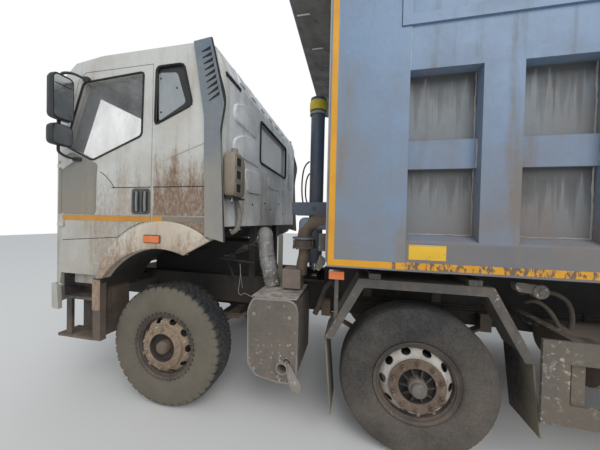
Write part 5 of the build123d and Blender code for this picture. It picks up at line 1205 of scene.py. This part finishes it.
wall = Shape()
loop_tube(wall, level_outline(rounded(QUARTER, 0.045, 6), CAB_SIDE + 0.001), 0.0085, 0)
band = shrink(rounded(QUARTER, 0.045, 6), 0.995)
clear = rounded([(3.603, 2.923), (3.422, 2.909), (3.337, 2.653), (3.595, 2.515)], 0.03, 6)
edges = ((band, 1.227), (clear, 1.227), (clear, 1.2262), (band, 1.2262))
rings = np.stack([level_outline(flat, level) for flat, level in edges], axis=1)
wall.grid(rings, 1, wrap_u=True, wrap_v=True)
for x, z in ((3.58, 2.872), (3.425, 2.78), (3.575, 2.59)):
    wall.revolve([(0.009, 1.2272), (0.008, 1.2285), (POINT, 1.229)], (x, 0, z), 1, 14)
for x0, x1, kind in ((3.54, 3.636, 3), (3.128, 3.54, 4)):
    wall.box((x0, CAB_SIDE, 1.668), (x1, CAB_SIDE + 0.0015, 1.712), kind)
# Painted highlight: a pale strip just above the brown stripe.
wall.box((3.128, CAB_SIDE, 1.712), (3.636, CAB_SIDE + 0.002, 1.722), 7)
wall.tube([(3.63, CAB_SIDE, 1.96), (3.13, CAB_SIDE, 1.963)], 0.0035, 2, 8)
wall.tube(along([(3.56, CAB_SIDE - 0.004, 2.172), (3.366, CAB_SIDE, 2.242), (3.13, CAB_SIDE, 2.32)], 12), 0.007, 5, 8)
turn = np.arcsin((np.linspace(4.636, 4.7, 6) - 4.56) / 0.4)
skin = np.stack([4.56 + 0.403 * np.sin(turn), (0.84 + 0.403 * np.cos(turn))], axis=-1)
wall.grid(np.stack([np.column_stack([skin, np.full(6, z)]) for z in (1.722, 2.215)]), 6)
pair("cab_side_{}", wall, "seal_rubber window_band soot stripe_orange stripe_brown cab_white corner_grey pale_edge",
     "cab", "cab_paint")
print("cab sides ready")

# %% [markdown]
# A white plastic flare covers the edge of each front wheel arch. Its section swells
# outwards, then turns in under the arch, and it is carried between two circles, an outer
# one and an inner one, that don't share a centre. A black liner fills the arch behind it.

# %% Wheel arch flares and liners
OUTER = (np.array([3.5246, 0.9623]), 0.7108, (15.1, 127.8))
INNER = (np.array([3.5709, 0.7398]), 0.6984, (36.3, 110.3))


def circle_points(circle, count):
    """Points along one of the flare's two edge circles, from front to rear."""
    centre, radius, (start, stop) = circle
    bearing = np.radians(np.linspace(start, stop, count))
    return centre + radius * np.stack([np.cos(bearing), np.sin(bearing)], axis=-1)


flare_section = [(0.0, -0.002), (0.0, 0.01), (0.03, 0.017), (0.3, 0.022), (0.75, 0.024), (0.93, 0.023),
                 (0.985, 0.016), (1.0, 0.002), (1.005, -0.06), (0.97, -0.06), (0.94, 0.008), (0.3, 0.004)]
flare = Shape()
outer, inner = circle_points(OUTER, 56), circle_points(INNER, 56)
rings = [level_outline(outer + (inner - outer) * share, CAB_SIDE + out) for share, out in flare_section]
solid(flare, np.stack(rings, axis=1))
flare.prism(oblong(3.537, 3.69, 1.494, 1.55, 0.008), CAB_SIDE + 0.02, CAB_SIDE + 0.04, 1)
flare.prism(oblong(3.53, 3.697, 1.488, 1.556, 0.01), CAB_SIDE + 0.018, CAB_SIDE + 0.028, 2)
left_flare, _ = pair("arch_flare_{}", flare, "flare_plastic amber_lens trim_plastic", "cab", "flare_plastic",
                     bevel=0.003)
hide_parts("arch_flares")

liner = Shape()
arc, thin = (circle_points((INNER[0], radius, (26.0, 108.0)), 40) for radius in (0.706, 0.71))
edges = ((arc, 0.78), (arc, 1.232), (thin, 1.232), (thin, 0.78))
solid(liner, np.stack([level_outline(flat, level) for flat, level in edges], axis=1))
pair("arch_liner_{}", liner, "arch_liner", "cab", "step_metal")

low = Shape()
low.prism(oblong(4.176, 4.262, 0.85, 1.13, 0.015), 1.2365, 1.245)
pair("low_flare_{}", low, "flare_plastic", "chassis", "flare_plastic", bevel=0.003)
print("flares ready")

# %% [markdown]
# Upright deflectors stand at the rear corners of the cab. The upper half has nine
# slanted louvres, each a pressed lip with a dark wedge under it that is painted shade,
# and a black rubber edge runs down the rear.

# %% Deflector louvres
fin = Shape()
face = 1.268
for k in range(9):
    share = k / 8
    front = np.array([3.169 - 0.07 * share, 3.017 - 0.389 * share])
    rear = np.array([3.094 - 0.082 * share, 3.05 - 0.357 * share])
    # Painted shade: a near-black wedge in the gap under each lip.
    shade_wedge = np.array([front, rear, rear - (0.002, 0.026), front - (0.0, 0.003)])
    fin.prism(shade_wedge, face, face + 0.001, 1)
    lip = np.array([front + (0.0, 0.008), rear + (0.0, 0.016), rear, front])
    fin.prism(lip, face, face + 0.007, 0)
edge = along([(3.096, 1.256, 3.124), (3.03, 1.256, 2.86), (2.972, 1.256, 2.6), (2.988, 1.256, 2.5),
              (3.002, 1.256, 2.405), (2.99, 1.256, 2.0), (2.961, 1.256, 1.524)], 40)
fin.tube(edge, 0.011, 2, 10)
pair("deflector_louvres_{}", fin, "deflector_blue soot seal_rubber", "cab", "deflector_paint", bevel=0.0015)
print("deflectors ready")

# %% [markdown]
# The roof is stiffened by ridges that run fore and aft and turn down over the rear edge,
# and the rear wall by pressed panels. Both are low plateaus with soft edges. The rear
# window sits in a thick rubber seal, with a dark slot under the roof's edge, painted as a
# near-black strip of shade under a white lip.

# %% Roof ridges and rear wall
shell = Shape()
for y in np.linspace(-0.98, 0.86, 8):
    path = along([(4.12, y, 3.121), (3.7, y, 3.121), (3.155, y, 3.121), (3.075, y, 3.068), (3.02, y, 2.95)], 26)
    shell.grid(ribbon(path, 0.115, 0.026, (0, 0, 1)), 0, wrap_v=True)
pressed = (
    [(1.06, 2.56), (1.06, 2.7), (0.88, 2.775), (0.64, 2.835), (0.555, 2.815), (0.53, 2.56)],
    [(1.06, 2.27), (1.06, 2.4), (0.88, 2.49), (0.635, 2.54), (0.488, 2.512), (0.461, 2.27)],
    [(0.844, 2.191), (0.419, 2.217), (0.406, 1.981), (0.753, 1.966)],
    [(0.19, 2.233), (-0.355, 2.232), (-0.335, 2.111), (0.138, 2.097)],
    [(-0.78, 2.8), (-1.08, 2.72), (-1.08, 2.2), (-0.78, 2.2)],
)
for outline in pressed:
    base, top = rounded(outline, 0.06), shrink(rounded(outline, 0.06), 0.93)
    rings = [level_outline(flat, x, "x") for flat, x in ((base, 3.001), (base, 2.997), (top, 2.984))]
    solid(shell, rings)
loop_tube(shell, level_outline(oblong(-0.62, 0.43, 2.345, 2.8, 0.05, 7), 3.0, "x"), 0.015, 1, 10)
# Painted shade: a near-black strip under a white lip stands for the slot under the roof's edge.
shell.box((2.994, 0.93, 2.862), (3.002, 1.19, 2.888), 2)
shell.box((2.99, 0.92, 2.888), (3.002, 1.2, 2.9), 0)
for y, z in ((0.62, 1.86), (0.25, 1.9), (0.05, 1.84), (-0.3, 1.93), (-0.52, 1.8)):
    shell.tube([(3.0, y, z), (2.992, y, z)], 0.009, 2, 10)
make("cab_shell_details", shell, "cab_white seal_rubber soot", "cab", "cab_paint", bevel=0.004)
print("rear wall ready")

# %% [markdown]
# A flat plastic can stands in a bracket on the rear wall. Its section shrinks towards both
# faces, three small framed windows show its level, and a hose bends away below it.

# %% Spare can
can = Shape()
can_low, can_high = np.array([2.893, 1.03, 1.882]), np.array([2.993, 1.233, 2.245])
can_outline = rounded([(can_low[1], can_low[2]), (can_high[1], can_low[2]), (can_high[1], can_high[2]),
                       (can_low[1] + 0.05, can_high[2]), (can_low[1], can_high[2] - 0.06)], 0.045, 6)
solid(can, [level_outline(shrink(can_outline, share), x, "x") for share, x in (
    (0.9, can_low[0]), (0.975, can_low[0] + 0.01), (1.0, can_low[0] + 0.03), (1.0, can_high[0] - 0.03),
    (0.975, can_high[0] - 0.01), (0.9, can_high[0]))])
for z in (1.955, 2.062, 2.165):
    hole = oblong(1.118, 1.2, z - 0.034, z + 0.034, 0.014)
    can.grid(np.stack([level_outline(shrink(hole, share), x, "x")
                       for share, x in ((1.24, 2.894), (1.18, 2.887), (1.0, 2.888), (1.0, 2.892))]), 0, wrap_v=True)
    can.add(level_outline(hole, 2.8915, "x"), [list(range(len(hole)))], 1)
can.tube([(2.945, 1.13, 2.238), (2.945, 1.13, 2.285)], 0.027, 0, 20)
can.box((2.896, 1.03, 1.868), (2.997, 1.228, 1.88), 2)
can.tube([(2.925, 1.2, 1.87), (2.925, 1.2, 1.84), (2.915, 1.21, 1.825)], 0.008, 3, 8)
can.tube(along([(3.0, 0.99, 1.93), (2.99, 1.0, 1.87), (2.962, 1.005, 1.79), (2.955, 1.005, 1.69),
                (2.985, 1.0, 1.61), (3.03, 0.99, 1.585)], 30), 0.022, 4, 16)
make("spare_can", can, "can_plastic soot frame_black chrome_stage corner_grey", "cab", "can_plastic", "jerrycan")
print("can ready")

# %% [markdown]
# Each door carries two mirror heads on one mast: a tall flat one and a squarer wide-angle
# one below it. A head is a rounded shell, deepest in its middle, with the glass set into
# its rear face. Two bent arms hold the mast to the door.

# %% Mirrors, roof lamps and arms
mirror = Shape()
for y, z, half_y, half_z in ((1.385, 2.7, 0.078, 0.19), (1.39, 2.385, 0.076, 0.088)):
    outline = oblong(-half_y, half_y, -half_z, half_z, 0.04, 6)
    solid(mirror, [level_outline(outline * share + (y, z), x, "x") for x, share in (
        (4.398, 0.93), (4.392, 0.97), (4.396, 1.0), (4.44, 1.0), (4.47, 0.94), (4.49, 0.78), (4.497, 0.5))])
    mirror.add(level_outline(outline * (0.9, 0.92) + (y, z), 4.3945, "x"), [list(range(len(outline)))], 1)
mirror.grid(ribbon([(4.3935, 1.32, 2.8), (4.3935, 1.45, 2.8)], 0.008, 0.002, (1, 0, 0)), 0, wrap_v=True)
mirror.tube([(4.45, 1.385, 2.455), (4.45, 1.385, 2.525)], 0.013, 0, 14)
mirror.tube(along([(4.45, 1.375, 2.872), (4.448, 1.362, 2.925), (4.415, 1.325, 2.946), (4.35, 1.25, 2.93)], 22), 0.011,
            0, 14)
mirror.tube(along([(4.455, 1.385, 2.3), (4.458, 1.378, 2.252), (4.45, 1.33, 2.222), (4.425, 1.256, 2.214)], 22), 0.011,
            0, 14)
mirror.prism(rounded([(4.3, 2.895), (4.365, 2.905), (4.365, 2.95), (4.3, 2.94)], 0.012), 1.2405, 1.264, 0)
mirror.prism(rounded([(4.385, 2.196), (4.48, 2.2), (4.48, 2.236), (4.385, 2.23)], 0.012), 1.2465, 1.262, 0)
mirror.prism(rounded([(4.612, 2.262), (4.464, 2.24), (4.475, 2.195), (4.612, 2.125)], 0.012), 1.2405, 1.254, 2)
pair("mirror_heads_{}", mirror, "mirror_black mirror_glass cab_white", "door_{}", "mirror_plastic", "mirror_{}",
     bevel=0.003)

lamp = Shape()
lamp.revolve([(POINT, 4.345), (0.034, 4.347), (0.043, 4.356), (0.045, 4.372), (0.045, 4.42), (0.036, 4.436),
              (POINT, 4.44)], (0, 1.01, 3.19), 0, 30, "x")
lamp.tube([(4.395, 1.01, 3.08), (4.395, 1.01, 3.155)], 0.018, 0, 14)
pair("roof_lamp_{}", lamp, "mirror_black", "cab", "mirror_plastic")
print("mirrors ready")

# %% [markdown]
# Two sprung seats stand behind the windscreen and a bunk lies across the rear. Each
# cushion is a closed form, blown up a little by a cloth step so that its faces crown and
# its sides pull in between the corners. Sewn channels cross it and a welt runs round it.

# %% Padded seats and bunk
WELT, WELT_IN, CORNER = 0.0045, 0.006, 0.028
FRAMES, PRESSURE, SWELL, CROWN, PULL_IN, GROOVE = 20, 4.0, 0.012, 0.022, 0.018, 0.011


def cushion_mesh(name, low, high, voxel):
    """Rounded block, with the voxel size that it is later remeshed at."""
    low, high = np.array(low, dtype=float), np.array(high, dtype=float)
    block = bmesh.new()
    bmesh.ops.create_cube(block, size=1.0)
    for vert in block.verts:
        vert.co = [(low[k] + high[k]) / 2 + vert.co[k] * (high[k] - low[k]) for k in range(3)]
    bmesh.ops.bevel(block, geom=list(block.edges), offset=CORNER, segments=3, profile=0.6, affect="EDGES")
    mesh = bpy.data.meshes.new(name)
    block.to_mesh(mesh)
    block.free()
    mesh.remesh_voxel_size = voxel
    return mesh, low, high


def apply_modifiers(piece):
    """Puts the result of the piece's modifiers into its mesh."""
    graph = bpy.context.evaluated_depsgraph_get()
    made = bpy.data.meshes.new_from_object(piece.evaluated_get(graph))
    piece.modifiers.clear()
    old = piece.data
    piece.data = made
    bpy.data.meshes.remove(old)


def cushion(name, low, high, channels, across, body, material, face, voxel=0.011):
    """Padded piece that crowns towards face, with sewn channels across one axis."""
    mesh, low, high = cushion_mesh(name, low, high, voxel)
    piece = add_object(name, mesh)
    even = piece.modifiers.new("even", "REMESH")
    even.mode, even.voxel_size = "VOXEL", voxel
    apply_modifiers(piece)
    rest = np.array([v.co for v in piece.data.vertices])
    cloth = piece.modifiers.new("cloth", "CLOTH")
    cloth.settings.use_pressure = True
    cloth.settings.uniform_pressure_force = PRESSURE
    cloth.settings.effector_weights.gravity = 0.0
    cloth.point_cache.frame_start, cloth.point_cache.frame_end = 1, FRAMES
    for number in range(1, FRAMES + 1):
        bpy.context.scene.frame_set(number)
    apply_modifiers(piece)
    bpy.context.scene.frame_set(1)
    blown = np.array([v.co for v in piece.data.vertices])
    move = blown - rest
    length = np.linalg.norm(move, axis=1, keepdims=True)
    move = move * np.minimum(1.0, SWELL / np.maximum(length, 1e-9))
    middle, half = (low + high) / 2, (high - low) / 2
    flat = (rest - middle) / half
    others = [k for k in range(3) if k != face[0]]
    crown = np.prod([1.0 - np.clip(np.abs(flat[:, k]), 0, 1) ** 2.4 for k in others], axis=0)
    toward = np.clip(flat[:, face[0]] * face[1], 0, 1)
    points = rest + move
    points[:, face[0]] += face[1] * crown * toward * CROWN
    for k in others:
        pinch = 1.0 - np.clip(np.abs(flat[:, others[1] if k == others[0] else others[0]]), 0, 1) ** 2
        points[:, k] -= np.sign(flat[:, k]) * np.clip(np.abs(flat[:, k]) - 0.6, 0, 1) * pinch * PULL_IN
    for line in channels:
        groove = np.exp(-((rest[:, across] - line) / 0.009) ** 2)
        points[:, face[0]] -= face[1] * groove * toward * GROOVE
    for vert, point in zip(piece.data.vertices, points):
        vert.co = point
    piece.data.polygons.foreach_set("use_smooth", [True] * len(piece.data.polygons))
    piece.data.update()
    finish(piece, material)
    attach(piece, body)
    welt = Shape()
    (a0, b0), (a1, b1) = low[others] + WELT_IN, high[others] - WELT_IN
    outline = oblong(a0, a1, b0, b1, 0.03, 6)
    level = (high if face[1] > 0 else low)[face[0]] - face[1] * 0.022
    ring = []
    for a, b in reach_more(outline, 4):
        spot = np.empty(3)
        spot[others[0]], spot[others[1]], spot[face[0]] = a, b, level
        ring.append(points[np.argmin(np.linalg.norm(points - spot, axis=1))])
    ring = np.array(ring)
    for _ in range(3):
        ring = (np.roll(ring, 1, axis=0) + 2 * ring + np.roll(ring, -1, axis=0)) / 4
    loop_tube(welt, ring, WELT, 0)
    make(f"{name}_welt", welt, material, body, "inside_plastic")
    return piece


def reach_more(outline, count):
    """The closed outline with count points on each of its sides."""
    outline = np.asarray(outline, dtype=float)
    after = np.roll(outline, -1, axis=0)
    shares = np.arange(count)[:, None] / count
    return np.concatenate([start + (stop - start) * shares for start, stop in zip(outline, after)])


for word, side in SIDES:
    y_low, y_high = sorted((side * 0.405, side * 0.875))
    cushion(f"seat_{word}", (3.64, y_low, 1.9), (4.08, y_high, 2.045), (3.76, 3.88, 3.99), 0, "cab",
            "seat_cloth", (2, 1))
    cushion(f"seat_back_{word}", (3.51, y_low + 0.01, 2.06), (3.632, y_high - 0.01, 2.67),
            (2.2, 2.34, 2.48, 2.6), 2, "cab", "seat_cloth", (0, 1))
    cushion(f"headrest_{word}", (3.525, side * 0.64 - 0.13, 2.7), (3.612, side * 0.64 + 0.13, 2.865), (), 1,
            "cab", "seat_cloth", (0, 1))
cushion("bunk_mattress", (3.1, -1.08, 1.96), (3.38, 1.08, 2.06), (-0.72, -0.36, 0.0, 0.36, 0.72), 1, "cab",
        "bunk_cloth", (2, 1), voxel=0.014)
print("cushions ready")

# %% [markdown]
# The rest of the inside is moulded plastic: boxes and bellows under the seats, the
# headrests' rods, the bunk's base, the dashboard, and the steering wheel on its column.

# %% Inside of the cab
cabin = Shape()
for side in (1, -1):
    cabin.box((3.66, side * 0.64 - 0.19, 1.7), (4.04, side * 0.64 + 0.19, 1.77), 0)
    for z in (1.775, 1.805, 1.835, 1.865):
        cabin.box((3.7, side * 0.64 - 0.15, z), (4.0, side * 0.64 + 0.15, z + 0.024), 1)
    for y in (-0.05, 0.05):
        cabin.tube([(3.568, side * 0.64 + y, 2.66), (3.568, side * 0.64 + y, 2.715)], 0.008, 2, 10)
cabin.box((3.095, -1.08, 1.7), (3.385, 1.08, 1.945), 0)
dash = rounded([(4.56, 1.905), (4.5, 1.96), (4.54, 2.055), (4.7, 2.08), (4.85, 2.06), (4.855, 1.905)], 0.03)
cabin.prism(dash, -0.98, 0.98, 0)
cabin.prism(rounded([(4.76, 1.52), (4.74, 1.89), (4.89, 1.9), (4.89, 1.52)], 0.02), -0.83, 0.83, 0)
cabin.prism(rounded([(4.6, 2.04), (4.56, 2.115), (4.68, 2.135), (4.74, 2.07)], 0.02), 0.42, 0.86, 0)
turn = np.linspace(0, 2 * math.pi, 65)[:-1]
tilt = math.radians(30)
wheel_at = np.array([4.44, 0.64, 2.11])
across, up = np.array([0.0, 1.0, 0.0]), np.array([math.cos(tilt), 0.0, math.sin(tilt)])
ring = wheel_at + 0.212 * (np.cos(turn)[:, None] * across + np.sin(turn)[:, None] * up)
loop_tube(cabin, ring, 0.0145, 1, 12)
column = np.array([math.sin(tilt), 0.0, -math.cos(tilt)])
cabin.tube([wheel_at - column * 0.012, wheel_at + column * 0.03], 0.062, 1, 26)
for angle in (0, 120, 240):
    way = math.cos(math.radians(angle)) * across + math.sin(math.radians(angle)) * up
    cabin.tube([wheel_at + way * 0.05, wheel_at + way * 0.206], 0.011, 1, 10)
cabin.tube([wheel_at + column * 0.02, wheel_at + column * 0.16], 0.03, 1, 18)
make("cab_inside", cabin, "trim_plastic mirror_black chrome_stage", "cab", "inside_plastic", "cab_interior",
     bevel=0.004)
print("inside ready")

# %% [markdown]
# Round the chassis hang hoses: two oil hoses beside the hoist, a loose pale wire behind
# the front wheel, and two brake hoses behind the second fender. Each is a spline with a
# round section as thick as its given diameter.

# %% Hoses and wires
def hose(name, points, diameter, material, body):
    """Free hose along a smooth spline whose control points are given."""
    curve = bpy.data.curves.new(name, "CURVE")
    curve.dimensions = "3D"
    spline = curve.splines.new("NURBS")
    spline.points.add(len(points) - 1)
    for control, point in zip(spline.points, points):
        control.co = (*point, 1.0)
    spline.order_u = 3
    spline.use_endpoint_u = True
    curve.resolution_u = 12
    piece = add_object(name, curve)
    line = bpy.data.meshes.new_from_object(piece)
    bpy.data.meshes.remove(line)
    curve.bevel_depth, curve.bevel_resolution, curve.use_fill_caps = diameter / 2, 4, True
    finish(piece, material)
    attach(piece, body)
    return piece


hose("hoist_hose_long", [(2.506, 0.05, 2.43), (2.545, 0.075, 2.4), (2.577, 0.098, 2.29), (2.586, 0.104, 2.12),
                         (2.577, 0.098, 1.96), (2.548, 0.078, 1.85), (2.508, 0.052, 1.81)], 0.018, "hose_black",
     "hoist_cover")
hose("hoist_hose_short", [(2.515, -0.03, 2.3), (2.545, -0.036, 2.27), (2.566, -0.04, 2.16), (2.566, -0.04, 2.03),
                          (2.545, -0.036, 1.93), (2.515, -0.03, 1.9)], 0.018, "hose_black", "hoist_cover")
hose("loose_wire", [(3.17, 0.448, 0.93), (3.172, 0.47, 0.99), (3.168, 0.505, 1.08), (3.174, 0.515, 1.2),
                    (3.172, 0.52, 1.225), (3.158, 0.53, 1.13), (3.164, 0.54, 1.01), (3.184, 0.535, 0.9),
                    (3.15, 0.525, 0.868), (3.112, 0.525, 0.906), (3.06, 0.515, 0.872), (3.0, 0.505, 0.85)],
     0.006, "wire_white", "chassis")
hose("brake_hose_a", [(0.56, 0.56, 1.12), (0.535, 0.62, 1.155), (0.47, 0.69, 1.182), (0.385, 0.7, 1.17),
                      (0.318, 0.7, 1.125), (0.284, 0.7, 1.05), (0.276, 0.7, 0.96), (0.292, 0.7, 0.88),
                      (0.304, 0.7, 0.815)], 0.036, "hose_dusty", "chassis")
hose("brake_hose_b", [(0.56, 0.64, 1.07), (0.545, 0.68, 1.1), (0.49, 0.7, 1.092), (0.425, 0.7, 1.03),
                      (0.374, 0.7, 0.94), (0.352, 0.7, 0.87), (0.35, 0.7, 0.81)], 0.032, "hose_dusty", "chassis")

print("hoses ready")

# %% [markdown]
# Air lines run along both rails, held by clips. A bracket with a round fitting sits behind
# each second fender. Between cab and bed there are bent and straight pipes and small
# brackets, and the cab's steps carry ridges.

# %% Chassis lines and steps
clutter = Shape()
for k, z in enumerate((0.885, 0.912, 0.939)):
    clutter.tube([(-4.6, 0.436 + 0.001 * k, z), (2.2, 0.436 + 0.001 * k, z)], 0.0075, 0, 8)
for x in np.arange(-4.4, 2.2, 0.55):
    clutter.box((x - 0.012, 0.426, 0.87), (x + 0.012, 0.448, 0.955), 1)
clutter.prism(rounded([(0.765, 1.262), (0.93, 1.275), (0.94, 1.34), (0.76, 1.322)], 0.022), 1.12, 1.18, 3)
clutter.revolve([(POINT, 1.135), (0.045, 1.137), (0.045, 1.185), (0.018, 1.187), (0.018, 1.195), (POINT, 1.196)],
                (0.8, 0, 1.285), 3, 26)
clutter.revolve([(POINT, 0.86), (0.03, 0.862), (0.03, 0.94), (POINT, 0.942)], (0.648, 0, 1.205), 0, 22)
clutter.also(clutter.mirror())
clutter.box((2.7, 0.47, 1.03), (2.752, 0.478, 1.55), 2)
clutter.tube(along([(2.12, 0.5, 1.04), (2.17, 0.57, 1.09), (2.21, 0.6, 1.06), (2.252, 0.6, 0.954),
                    (2.283, 0.6, 0.862), (2.318, 0.6, 0.78)], 30), 0.027, 3, 16)
clutter.tube(along([(3.32, 0.6, 1.31), (3.23, 0.61, 1.322), (3.14, 0.61, 1.36), (3.04, 0.6, 1.4),
                    (2.96, 0.6, 1.47), (2.9, 0.6, 1.475)], 40), 0.011, 0, 10)
clutter.tube(along([(3.2, 0.62, 1.322), (3.15, 0.632, 1.372), (3.08, 0.632, 1.42), (3.0, 0.62, 1.44),
                    (2.9, 0.61, 1.43)], 34), 0.008, 0, 10)
clutter.box((3.165, 0.585, 1.29), (3.235, 0.64, 1.345), 1)
clutter.box((3.03, 0.58, 1.395), (3.085, 0.65, 1.44), 0)
clutter.tube([(3.42, 0.52, 1.27), (3.0, 0.52, 1.235)], 0.012, 0, 10)
clutter.tube([(3.33, 0.5, 1.25), (3.25, 0.5, 1.05)], 0.015, 1, 10)
clutter.tube([(2.99, 0.5, 1.33), (2.85, 0.5, 1.09)], 0.017, 1, 10)
make("chassis_lines", clutter, "hose_black engine_dark deflector_blue fender_taupe", "chassis", "frame_paint",
     bevel=0.002)

steps_piece = Shape()
steps_piece.box((4.272, 1.135, 1.06), (4.623, 1.15, 1.296))
for x in 4.3 + 0.038 * np.arange(9):
    steps_piece.tube([(x, 1.15, 1.058), (x, 1.21, 1.058)], 0.0035, 1, 6)
make("step_details", steps_piece.also(steps_piece.mirror()), "cab_white step_black", "chassis", "step_metal",
     bevel=0.002)
print("chassis lines ready")
